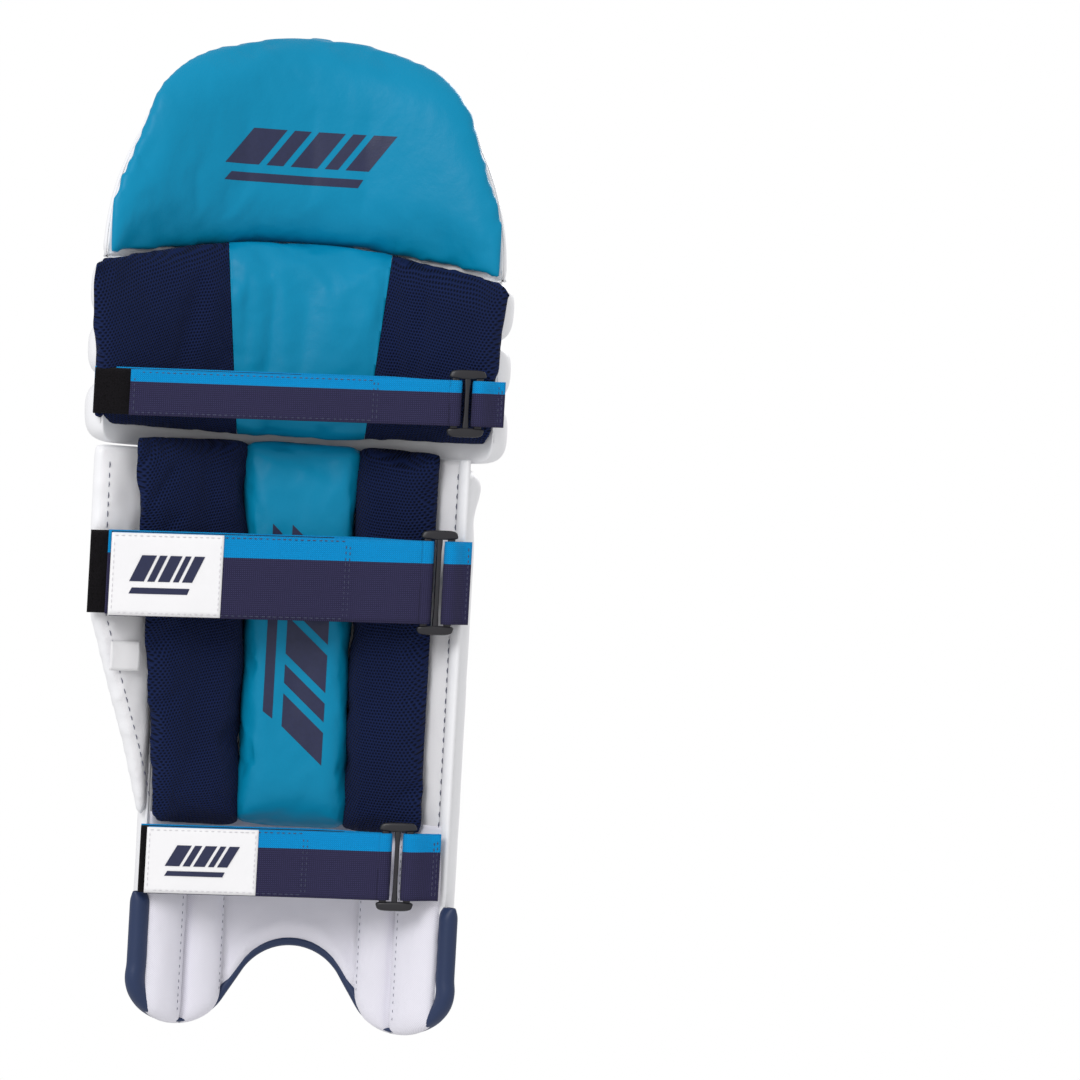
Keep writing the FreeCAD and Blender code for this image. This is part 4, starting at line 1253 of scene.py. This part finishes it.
def knee_bolster():
    """The cross bolster behind the knee: one pillow, sewn down along two slanted seams, then parted there."""
    plan = bend_plan(KNEE_R, 6.5, -47, 62)
    top_x = np.linspace(154, -151, 50)
    top = np.stack([top_x, arch_over(top_x, 589, BOLSTER_HEAD_Z, 154)], -1)
    left = [(-154, BOLSTER_HEAD_Z - 5), (-150, 500), (-146, BOLSTER_FOOT_Z + 6), (-141, BOLSTER_FOOT_Z)]
    right = [(145, BOLSTER_FOOT_Z), (150, BOLSTER_FOOT_Z + 6), (154, 500), (157, BOLSTER_HEAD_Z - 5)]
    outline = np.concatenate([top, left, right])
    flat = np.stack([plan.along(outline[:, 0]), outline[:, 1]], -1)
    mid = (flat[:, 0].max() + flat[:, 0].min()) / 2
    half = (flat[:, 0].max() - flat[:, 0].min()) / 2

    def thickness(a, z):
        return 14 + 24 * np.clip(1 - ((a - mid) / half) ** 2, 0, 1)

    piece = pillow("knee_bolster", plan, flat, thickness, 26, 4.5, 0.35)
    stuff(piece, plan, 3.5, 2.8, 0.024)
    p, n = points_of(piece), normals_of(piece)
    for s in (0, 1):
        away = np.abs(p[:, X] - slant_x(p[:, Z], s))
        p[:, Y] -= 5.5 * np.exp(-(away / 5.5) ** 1.3) * (n[:, Y] > -0.2)
    set_points(piece, p)

    def everywhere(q):
        seam = np.minimum(*(np.abs(q[:, X] - slant_x(q[:, Z], s)) for s in (0, 1)))
        return 0.45 + np.exp(-seam / 16)

    crease(piece, 1.0, 18.0, 0.8, 2.0, everywhere)
    subdivide(piece)
    wrap_uv(piece, KNEE_R)
    for part, sides, material, slot in (("inner", [(0, -1)], NAVY_MESH, "navy_mesh"),
                                        ("centre", [(0, 1), (1, -1)], TEAL, "teal_cover"),
                                        ("wing_side", [(1, 1)], NAVY_MESH, "navy_mesh")):
        cushion_part = cut_along(piece, f"knee_bolster_{part}_cushion", sides)
        stand_in(cushion_part, material, slot, "knee_middle", [f"knee_bolster_{part}"], 0.75)
    bpy.data.objects.remove(piece)


def cut_along(piece, name, sides):
    """A copy of a piece that keeps only what is on one side of each slanted seam, closed at the cut."""
    bm = bmesh.new()
    bm.from_mesh(piece.data)
    for s, keep in sides:
        foot = Vector((slant_x(444, s), 0, 444)) * MM
        head = Vector((slant_x(584, s), 0, 584)) * MM
        normal = (head - foot).cross(Vector((0, 1, 0))).normalized()
        if normal.x < 0:
            normal = -normal
        gap = 0.15 * MM * keep
        everything = bm.verts[:] + bm.edges[:] + bm.faces[:]
        cut = bmesh.ops.bisect_plane(bm, geom=everything, plane_co=foot + normal * gap,
                                     plane_no=normal * -keep, clear_outer=True)
        edges = [e for e in cut["geom_cut"] if isinstance(e, bmesh.types.BMEdge) and e.is_boundary]
        bmesh.ops.edgenet_fill(bm, edges=edges)
    mesh = bpy.data.meshes.new(name)
    bm.to_mesh(mesh)
    bm.free()
    return in_scene(name, mesh)


SHIN_BOLSTER_FOOT = low("shin_bolster_centre", Z)
SHIN_BOLSTER_HEAD = 438.5
SWELL = np.array([-3.6, 3.6])     # smoothing draws a pillow's sides in by this much


def shin_bolster(part, plan, foot_x, head_x, low_z, thickness, rounding, spare, creases, looks):
    """One upright bolster on a plan. thickness takes the distance along the plan and its two sides."""
    lo, hi = plan.along(foot_x), plan.along(head_x)
    outline = rounded_box(lo + SWELL, hi + SWELL, low_z, SHIN_BOLSTER_HEAD + 1, 9)
    name = f"shin_bolster_{part}"
    piece = pillow(f"{name}_cushion", plan, outline, lambda a, z: thickness(a, z, lo, hi), rounding, 4.0, 0.35)
    stuff(piece, plan, 3.5, 2.6, spare)
    crease(piece, 0.9, *creases)
    return cover_pillow(piece, SHIN_R, *looks, "shin", [name], 0.8 if part == "centre" else 0.7)


def shin_bolsters():
    """The centre bolster and one each side of it; returns the centre one."""
    depth, foot = 3.4, SHIN_BOLSTER_FOOT
    teal, navy = (TEAL, "teal_cover"), (NAVY_MESH, "navy_mesh")
    tip = np.array([high("shin_bolster_wing_side", X) + 9, high("shin_bolster_wing_side", Y) - 3])

    def level(a, z, lo, hi):
        return 37 - 3 * ((a - (lo[0] + hi[1]) / 2) / ((hi[1] - lo[0]) / 2)) ** 2

    def thin_inside(a, z, lo, hi):
        return 14 + 21 * np.clip((a - lo[0]) / (hi[1] - lo[0]), 0, 1) ** 0.75

    def thin_at_wing(a, z, lo, hi):
        wide = mix(lo[1] - lo[0], hi[1] - lo[0], (z - foot) / (SHIN_BOLSTER_HEAD - foot))
        return 35 - 22 * np.clip((a - lo[0]) / wide, 0, 1) ** 1.3

    centre = shin_bolster("centre", bend_plan(SHIN_R, depth, -18, 22), (-51.5, 28.5), (-47.5, 36.0), foot - 3,
                          level, 15, 0.025, (16.0, 1.5, 8.0), teal)
    shin_bolster("inner", bend_plan(SHIN_R, depth, -44.0, -11), (-109.0, -52.3), (-107.5, -48.3), foot - 5,
                 thin_inside, 19, 0.03, (17.0, 1.2, 3.0), navy)
    shin_bolster("wing_side", bend_plan(SHIN_R, depth, 14, 34, tip), (29.3, 90.0), (36.8, 118.0), foot - 5,
                 thin_at_wing, 19, 0.03, (17.0, 1.2, 6.0), navy)
    return centre


# ---- wing
HINGE = joint_at("wing_hinge")
WING_TIP = np.array([147.0, 52.0])
WING_WIDTH = np.linalg.norm(WING_TIP - HINGE[:2])
WING_OUT = (WING_TIP - HINGE[:2]) / WING_WIDTH
WING_LEG = np.array([-WING_OUT[1], WING_OUT[0]])
WING_SPLIT = 335.0              # height of the seam across the wing
WING_THICK = 15.0


def wing_at(s, z, n):
    """Points s out from the hinge, at height z, and n towards the leg."""
    s, z, n = floats(s, z, n)
    return np.stack([*(HINGE[k] + WING_OUT[k] * s + WING_LEG[k] * n for k in (X, Y)), z], -1)


def wing_width(z):
    """The wing widens from its foot to full width, and has a small notch at the seam across it."""
    full = WING_WIDTH
    zs = [154, 180, 206, 256, 285, 303, 323, WING_SPLIT - 4, WING_SPLIT, WING_SPLIT + 4, 347, 432]
    return np.interp(z, zs, [8, 16, 25, 45, 56, 63, full, full - 1, full - 4, full - 1, full, full + 1])


def wing_pad():
    """The wing: one flat cushion, white in front and lined behind, with a seam across that notches its edge."""
    z0, z1 = low("wing_lower", Z), SHIN_TOP - 0.5
    start = wing_at(-2.0, 0, -WING_THICK / 2)[:2]
    end = wing_at(WING_WIDTH + 3, 0, -WING_THICK / 2)[:2]
    plan = Plan(np.linspace(start, end, 20))
    zs = np.concatenate([np.linspace(z0, WING_SPLIT - 8, 30), np.linspace(WING_SPLIT - 6, WING_SPLIT + 6, 9),
                         np.linspace(WING_SPLIT + 8, z1, 16)])
    edge = np.stack([wing_width(zs) + 2.0, zs], -1)
    outline = np.concatenate([[(0.0, z1), (0.0, z0)], edge])

    def thickness(a, z):
        return WING_THICK * (0.55 + 0.45 * smooth(a / 14))

    piece = pillow("wing_pad", plan, outline, thickness, 9, 3.6, 0.5)
    crease(piece, 1.0, 18.0, 1.6, 4.0)
    p, n = points_of(piece), normals_of(piece)
    side = n[:, :2] @ WING_LEG
    press = 4.5 * np.exp(-(np.abs(p[:, Z] - WING_SPLIT) / 4.5) ** 1.2)
    inwards = np.where(side < 0, -1, 0.5) * press * np.clip(np.abs(side) * 2, 0, 1)
    wrinkle = 0.8 * fuzz(p[:, X] / 9, p[:, Z] / 30, 6.0) * (side > 0.3)
    p[:, :2] += (wrinkle - inwards)[:, None] * WING_LEG
    set_points(piece, p)
    subdivide(piece)
    wrap_uv(piece, SHIN_R)
    stand_in(piece, WHITE, "white_cover", None, ["wing_upper", "wing_lower"], 0.5)
    piece.data.materials.append(LINING)
    facing = np.zeros(len(piece.data.polygons) * 3)
    piece.data.polygons.foreach_get("normal", facing)
    behind = facing.reshape(-1, 3)[:, :2] @ WING_LEG > 0.75
    piece.data.polygons.foreach_set("material_index", behind.astype(int))
    start, stop = wing_at(1.0, 300, 0) * MM, wing_at(9.0, 300, 0) * MM
    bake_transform(piece)


def wing_stitching():
    """A row of stitches inside the wing's edge, behind, and one across its seam in front."""
    zs = np.linspace(low("wing_lower", Z) + 14, SHIN_TOP - 8, 90)
    hem = wing_at(wing_width(zs) - 8.5, zs, 7.4)
    leg = np.broadcast_to([WING_LEG[0], WING_LEG[1], 0], hem.shape)
    s = np.linspace(12, WING_WIDTH - 8, 30)
    seam = wing_at(s, WING_SPLIT + 1.5, -3.9)
    rows = [(hem, leg, {"length": 4.0, "gap": 3.4}), (seam, -leg[:30], {"length": 3.6, "gap": 3.4})]
    return sewing("wing_stitching", rows, "wing")


def care_tab():
    """The blank care label, sewn in at its outer end and lying on the wing's back."""
    lo, hi = low("care_label", Z), high("care_label", Z)
    outer, length = 50.0, 27.0
    s, z = np.meshgrid(np.linspace(outer, outer - length, 12), np.linspace(lo, hi, 9), indexing="ij")
    n = 9.0 + 1.56 * smooth((outer - s) / 20) + 0.5 * np.sin((z - lo) / 6)
    piece = sheet_piece("care_tab", wing_at(s, z, n), np.stack([s, z], -1), 0.35, (*WING_LEG, 0))
    stand_in(piece, LABEL, "label", "wing", ["care_label"])


# ---- straps
WEB = 1.6
TURN = 4.4
BAR_GAP = 18.0
BAR_N = WEB / 2 + TURN
STRAP_RISE = 0.024              # slope of each strap, up towards its ring
RING_OVERHANG = 4.6             # the ring's tabs reach this far past the webbing and the outer bars
STRIPE = 0.27                   # share of a strap's width that its stripe takes
LAYER_SLIP = 1.4                # how far the sewn layer shows above the one folded over it
FOLD_TOP = 10.4                 # height of the tip layer's middle where it leaves the ring
LABEL_REACH = 82.0              # length of a strap's label, from its tip
SEWN_END = 61.0                 # a tip's stitching starts this far along it
LOOP_N, LOOP_THICK = 2.9, 2.4   # middle height and thickness of the loop pile
HOOK_DROP, HOOK_LENGTH = 1.35, 89.0     # the hook tape's depth under the tip, and its length
STRAP_NAVY, STRAP_BLUE = linear(46, 44, 73), linear(3, 146, 214)


class Strap:
    """The frame of one strap: w along it from the ring's bar to its sewn end, n away from the leg."""

    def __init__(self, name):
        self.name = name
        peel, rock = joint_at(f"{name}_tip_peel"), joint_at(f"{name}_ring_rock")
        v = peel[:2] - rock[:2]
        turn = -math.atan2(FOLD_TOP - BAR_N, 16 + BAR_GAP)
        c, s = math.cos(turn), math.sin(turn)
        self.e = unit(np.array([v[0] * c - v[1] * s, v[0] * s + v[1] * c]))
        self.n = np.array([-self.e[1], self.e[0]])
        self.o = rock[:2] + self.e * BAR_GAP - self.n * BAR_N
        bottom, top = low(f"{name}_strap", Z), high(f"{name}_strap", Z)
        self.z, self.width = (bottom + top) / 2, top - bottom
        self.root = self.along(high(f"{name}_strap", X)) - 0.5
        self.tip = self.along(high(f"{name}_strap_tip", X)) - 0.5
        self.keeper = self.along(low(f"{name}_keeper", X)) + 1.5

    def along(self, x):
        return (x - self.o[0]) / self.e[0]

    def lift(self, w):
        return self.z + STRAP_RISE * (self.root * 0.45 - np.asarray(w, float))

    def at(self, w, n, z=0.0):
        w, n, z = floats(w, n, z)
        z = z + LAYER_SLIP * smooth((4 - n) / 3) * smooth((w - 4) / 50)
        return np.stack([*(self.o[k] + self.e[k] * w + self.n[k] * n for k in (X, Y)), self.lift(w) + z], -1)

    def tip_n(self, w):
        """Height of the webbing's middle on the way out to the tip."""
        settle = smooth((np.asarray(w, float) - 10) / 50)
        return mix(2 * TURN + WEB / 2, 5.4, settle)


def turn_path(w_from, centre_w, w_to, side, n_to):
    """Webbing from one end, round a bar and back: (w, n) points."""
    a = np.linspace(-math.pi / 2, math.pi / 2, 17)
    bend_points = np.stack([centre_w + side * TURN * np.cos(a), BAR_N + TURN * np.sin(a)], -1)
    out = np.stack([np.linspace(w_from, centre_w, 60), np.full(60, WEB / 2)], -1)[:-1]
    back = np.linspace(centre_w, w_to, 24)[1:]
    return np.concatenate([out, bend_points, np.stack([back, n_to(back)], -1)])


def ribbon(name, strap, path, width, thick=WEB, seed=0.0, wave=0.35):
    """A band that follows a path in (w, n), with its middle in the path."""
    path = np.asarray(path, float)
    run = run_of(path)
    at = np.linspace(0, run[-1], max(8, int(run[-1] / 2.2)))
    path = sample(at, run, path)
    across = np.linspace(-0.5, 0.5, 15)
    slope = unit(np.gradient(path, axis=0))
    up = np.stack([-slope[:, 1], slope[:, 0]], -1)
    front, back = [], []
    for c in across:
        soft = thick * (0.5 if abs(c) < 0.47 else 0.34)
        middle = path + up * (wave * fuzz(at / 30.0, c * 1.5, seed + strap.z))[:, None]
        front.append(strap.at(*(middle + up * soft).T, c * width))
        back.append(strap.at(*(middle - up * soft).T, c * width))
    n, m = len(at), len(across)
    verts = np.stack(front + back[::-1], 1).reshape(-1, 3)
    v = np.concatenate([across, across[::-1]]) * width + width / 2
    uv = np.stack([np.broadcast_to(at[:, None], (n, 2 * m)), np.broadcast_to(v, (n, 2 * m))], -1).reshape(-1, 2)
    faces = grid_faces(n, 2 * m, around=True)
    for i, flip in ((0, False), (n - 1, True)):
        for j in range(m - 1):
            quad = (i * 2 * m + j, i * 2 * m + j + 1, i * 2 * m + 2 * m - 2 - j, i * 2 * m + 2 * m - 1 - j)
            faces.append(quad[::-1] if flip else quad)
    piece = make(name, verts, faces, uv)
    face_outwards(piece)
    return piece


def across_stitches(strap, w, n, width, inset=3.0):
    zs = np.linspace(-width / 2 + inset, width / 2 - inset, 20)
    points = strap.at(np.full(20, w), n, zs)
    away = np.broadcast_to([strap.n[0], strap.n[1], 0], points.shape)
    return points, away, {"length": 2.4, "gap": 1.8, "radius": 0.4}


def along_stitches(strap, w0, w1, n, z, **more):
    ws = np.linspace(w0, w1, max(12, int(abs(w1 - w0) / 4)))
    points = strap.at(ws, n(ws), z)
    away = np.broadcast_to([strap.n[0], strap.n[1], 0], points.shape)
    return points, away, {"length": 2.6, "gap": 1.8, "radius": 0.4, **more}


def lump(place, half, power, n=20, m=28):
    """A closed superellipsoid; place turns (w, n, z) offsets into points."""
    verts = []
    for i in range(n + 1):
        lat = math.pi * (i / n - 0.5)
        for j in range(m):
            lon = 2 * math.pi * j / m
            parts = (math.cos(lat) * math.cos(lon), math.cos(lat) * math.sin(lon), math.sin(lat))
            size = sum(abs(c) ** power for c in parts) ** (-1 / power)
            verts.append(place(*(c * size * h for c, h in zip(parts, half))))
    return np.array(verts), grid_faces(n + 1, m, around=True)


def strap_ring(strap):
    """A moulded ring: three upright bars between two rounded tabs."""
    reach = strap.width / 2 + RING_OVERHANG
    middle = -BAR_GAP / 2
    shapes = []
    for side in (-1, 1):
        def tab(w, n, z, side=side):
            return strap.at(middle + w * (1 - 0.08 * z * side / 3.4), BAR_N + n, side * reach + z)

        shapes.append(lump(tab, (BAR_GAP / 2 + RING_OVERHANG, 3.0, 3.5), 4.0))
    for w0 in (0.0, middle, -BAR_GAP):
        def bar(w, n, z, w0=w0):
            wide = 1 + 0.35 * smooth((abs(z) - strap.width / 2 + 9) / 9)
            return strap.at(w0 + w * wide, BAR_N + n, z)

        shapes.append(lump(bar, (1.7 if w0 == middle else 2.1, 2.0, reach), 9.0, 44, 20))
    piece = make(f"{strap.name}_strap_ring", *joined_shapes(shapes))
    face_outwards(piece, MERGE)
    ring = f"{strap.name}_ring"
    stand_in(piece, PLASTIC, "ring_plastic", ring, [ring])


def keeper_path(strap):
    """The keeper: sewn down, round the ring's outer bar, and back over itself."""
    a = np.linspace(-math.pi / 2, math.pi / 2, 15)
    return np.concatenate([
        [(strap.keeper, WEB / 2), (-BAR_GAP - 2, WEB / 2)],
        np.stack([-BAR_GAP + TURN * np.cos(a), BAR_N + TURN * np.sin(a)], -1),
        np.stack([np.linspace(-BAR_GAP - 1, strap.keeper, 20),
                  mix(2 * TURN + WEB / 2, WEB * 1.5, smooth(np.linspace(0, 1.25, 20)))], -1),
    ])


def strap_set(name, home, labelled):
    """One strap: webbing round the ring, its folded tip, tapes, keeper, ring and label."""
    s = Strap(name)
    tip_body = f"{name}_tip"
    web = webbing(f"{name}_webbing", STRAP_NAVY, STRAP_BLUE, s.width, STRIPE)
    settle = s.tip_n

    def top(w):
        return settle(w) + WEB / 2 - 0.15

    def band(piece_name, path, width, material, slot, body, node, **more):
        piece = ribbon(f"{name}_{piece_name}", s, path, width, **more)
        return stand_in(piece, material, slot, body, [f"{name}_{node}"])

    band("strap_webbing", turn_path(s.root, 0.0, 5.0, -1, settle), s.width, web, "webbing", home, "strap",
         seed=1.0, wave=0.0)
    ws = np.linspace(4.0, s.tip, 60)
    end = band("strap_end", np.stack([ws, settle(ws)], -1), s.width, web, "webbing", None, "strap_tip",
               seed=2.0, wave=0.3)
    start, stop = s.at(7.0, FOLD_TOP) * MM, s.at(25.0, FOLD_TOP) * MM
    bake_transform(end)

    w0, w1 = (s.along(v(f"{name}_loop_patch", X)) for v in (low, high))
    w1 = min(w1 + 4, s.root) if name != "calf" else s.root - 2
    band("loop_pile", [(w0, LOOP_N), (w1, LOOP_N)], s.width - 1.0, LOOP, "loop_pile", home, "loop_patch",
         thick=LOOP_THICK, seed=3.0, wave=0.0)
    ws = np.linspace(max(s.tip - 1 - HOOK_LENGTH, 30), s.tip - 1, 40)
    under = np.stack([ws, settle(ws) - HOOK_DROP], -1)
    band("hook_tape", under, s.width - 3, HOOK, "hook_tape", tip_body, "hook_patch",
         thick=1.0, seed=2.0, wave=0.3)
    rows = [across_stitches(s, w, top(w), s.width) for w in (s.tip - 3.0, SEWN_END - 3.0, SEWN_END)]
    rows += [along_stitches(s, SEWN_END, s.tip - 4, top, side * (s.width / 2 - 2.2)) for side in (-1, 1)]
    sewing(f"{name}_strap_stitching", rows, tip_body)

    band("keeper_webbing", keeper_path(s), s.width, web, "webbing", home, "keeper", seed=4.0, wave=0.0)
    rows = [across_stitches(s, s.keeper + d, WEB * 2 + 0.05, s.width) for d in (2.5, 5.0)]
    sewing(f"{name}_keeper_stitching", rows, home)
    strap_ring(s)
    if labelled:
        start = s.tip - LABEL_REACH
        ws = np.linspace(start, s.tip + 1.0, 30)
        on_top = np.stack([ws, top(ws) + 0.45], -1)
        band("strap_label", on_top, s.width - 1.0, LABEL, "label", tip_body, "label",
             thick=0.8, seed=2.0, wave=0.3)

        def over(w):
            return settle(w) + WEB / 2 + 0.75

        rows = [along_stitches(s, start + 2, s.tip - 1, over, side * (s.width / 2 - 2.5)) for side in (-1, 1)]
        rows += [across_stitches(s, w, over(w), s.width - 3) for w in (start + 2, s.tip - 1.2)]
        sewing(f"{name}_label_stitching", rows, tip_body, THREAD_WHITE)
        label_mark(s, over, tip_body)
    return s


def label_mark(strap, over, body):
    """The generic mark on a strap's label, drawn along the strap."""
    shapes = block_mark(0, 0, LABEL_REACH * 0.66, strap.width * 0.46)
    flat = np.array([corner for quad in shapes for corner in quad])
    middle = (flat.max(0) + flat.min(0)) / 2
    verts, faces = [], []
    for quad in shapes:
        first = len(verts)
        a, b, c, d = np.array(quad) - middle
        for i in range(9):
            for j in range(5):
                w, z = mix(mix(a, b, i / 8), mix(d, c, i / 8), j / 4)
                at = strap.tip - LABEL_REACH * 0.5 + w
                verts.append(strap.at(at, over(at) + 0.28, z))
        faces += grid_faces(9, 5, offset=first)
    piece = make(f"{strap.name}_label_mark", verts, faces)
    if normals_of(piece).mean(0)[Y] < 0:
        piece.data.flip_normals()
    dress(piece, INK, body)


def calf_tail(strap):
    """The calf strap's sewn end, on the wing: webbing faced with loop pile."""
    path = [(strap.root - 9, -1.3), (strap.root + 13, -1.3)]
    tail = ribbon("calf_strap_sewn_end", strap, path, strap.width - 1, 1.4, 2.0, 0.0)
    stand_in(tail, LOOP, "loop_pile", "wing", ["calf_strap_tail"])


# ---- the object
front = shin_front()
shin_back()
foot_padding()
foot_binding()
rolls = knee_rolls()
hat = top_hat_front()
top_hat_back()
face = Surface([front, hat] + rolls, -1)
shin_seams(face)
roll_stitching(face)
hat_seams(face)
pillow_piece = thigh_pillow()
knee_bolster()
bolster = shin_bolsters()
wing_pad()
wing_stitching()
care_tab()
strap_set("knee", "knee_middle", labelled=False)
calf = strap_set("calf", "shin", labelled=True)
strap_set("ankle", "shin", labelled=True)
calf_tail(calf)
dress(frame["nodes"]["canes"], CANE)

# each mark: x and z of its middle, width and height
printed("top_hat_mark", block_mark(2.0, 653.0, 125, 40), Surface([pillow_piece], 1), "top_hat")
printed("shin_bolster_mark", block_mark(-9.0, 290.0, 176, 46, along_z=True), Surface([bolster], 1), "shin")
printed("instep_mark", block_mark(-21.0, 104.0, 50, 15, side=-1), face, "shin")
printed("roll_mark", block_mark(112.0, 501.0, 32, 14, side=-1), face, "knee_middle")


# ---- camera and light, in metres
EYE_AT, EYE_TO, EYE_ROLL, EYE_LENS = (0.0, 3.52, 0.40), (-0.186, 0.02, 0.3768), 3.2, 156.0
LAMP_AT, LAMP_TO, LAMP_SIZE, LAMP_WATTS = (1.5, 2.6, 2.0), (0, 0, 0.4), 1.6, 56
AMBIENT = 0.78


def aim(piece, target, roll_degrees=0.0):
    away = (Vector(target) - piece.location).normalized()
    roll = Matrix.Rotation(math.radians(roll_degrees), 3, "Z").to_quaternion()
    piece.rotation_mode = "QUATERNION"
    piece.rotation_quaternion = away.to_track_quat("-Z", "Y") @ roll


def soft_light(name, place, target, size, watts):
    lamp = bpy.data.lights.new(name, "AREA")
    lamp.shape = "DISK"
    lamp.size = size
    lamp.energy = watts
    piece = in_scene(name, lamp)
    piece.location = place
    aim(piece, target)


def studio():
    """The main camera, a background that is white to the camera and softer as light, and two soft lights."""
    scene = bpy.context.scene
    eye = bpy.data.cameras.new("camera")
    eye.lens = EYE_LENS
    eye.sensor_width = 36.0
    camera = in_scene("camera", eye)
    camera.location = EYE_AT
    aim(camera, EYE_TO, EYE_ROLL)
    scene.camera = camera
    world = bpy.data.worlds.new("studio")
    world.use_nodes = True
    tree = world.node_tree
    sky = tree.nodes["Background"]
    sky.inputs["Color"].default_value = (1, 1, 1, 1)
    sky.inputs["Strength"].default_value = AMBIENT
    seen = tree.nodes.new("ShaderNodeBackground")
    seen.inputs["Color"].default_value = (1, 1, 1, 1)
    choice = tree.nodes.new("ShaderNodeMixShader")
    tree.links.new(tree.nodes.new("ShaderNodeLightPath").outputs["Is Camera Ray"], choice.inputs[0])
    tree.links.new(sky.outputs[0], choice.inputs[1])
    tree.links.new(seen.outputs[0], choice.inputs[2])
    tree.links.new(choice.outputs[0], tree.nodes["World Output"].inputs["Surface"])
    scene.world = world
    x, y, z = LAMP_AT
    soft_light("key", (x, y, z), LAMP_TO, LAMP_SIZE, LAMP_WATTS)
    soft_light("front_key", (-x, -y, z), LAMP_TO, LAMP_SIZE, LAMP_WATTS)
    scene.view_settings.view_transform = "Standard"


studio()
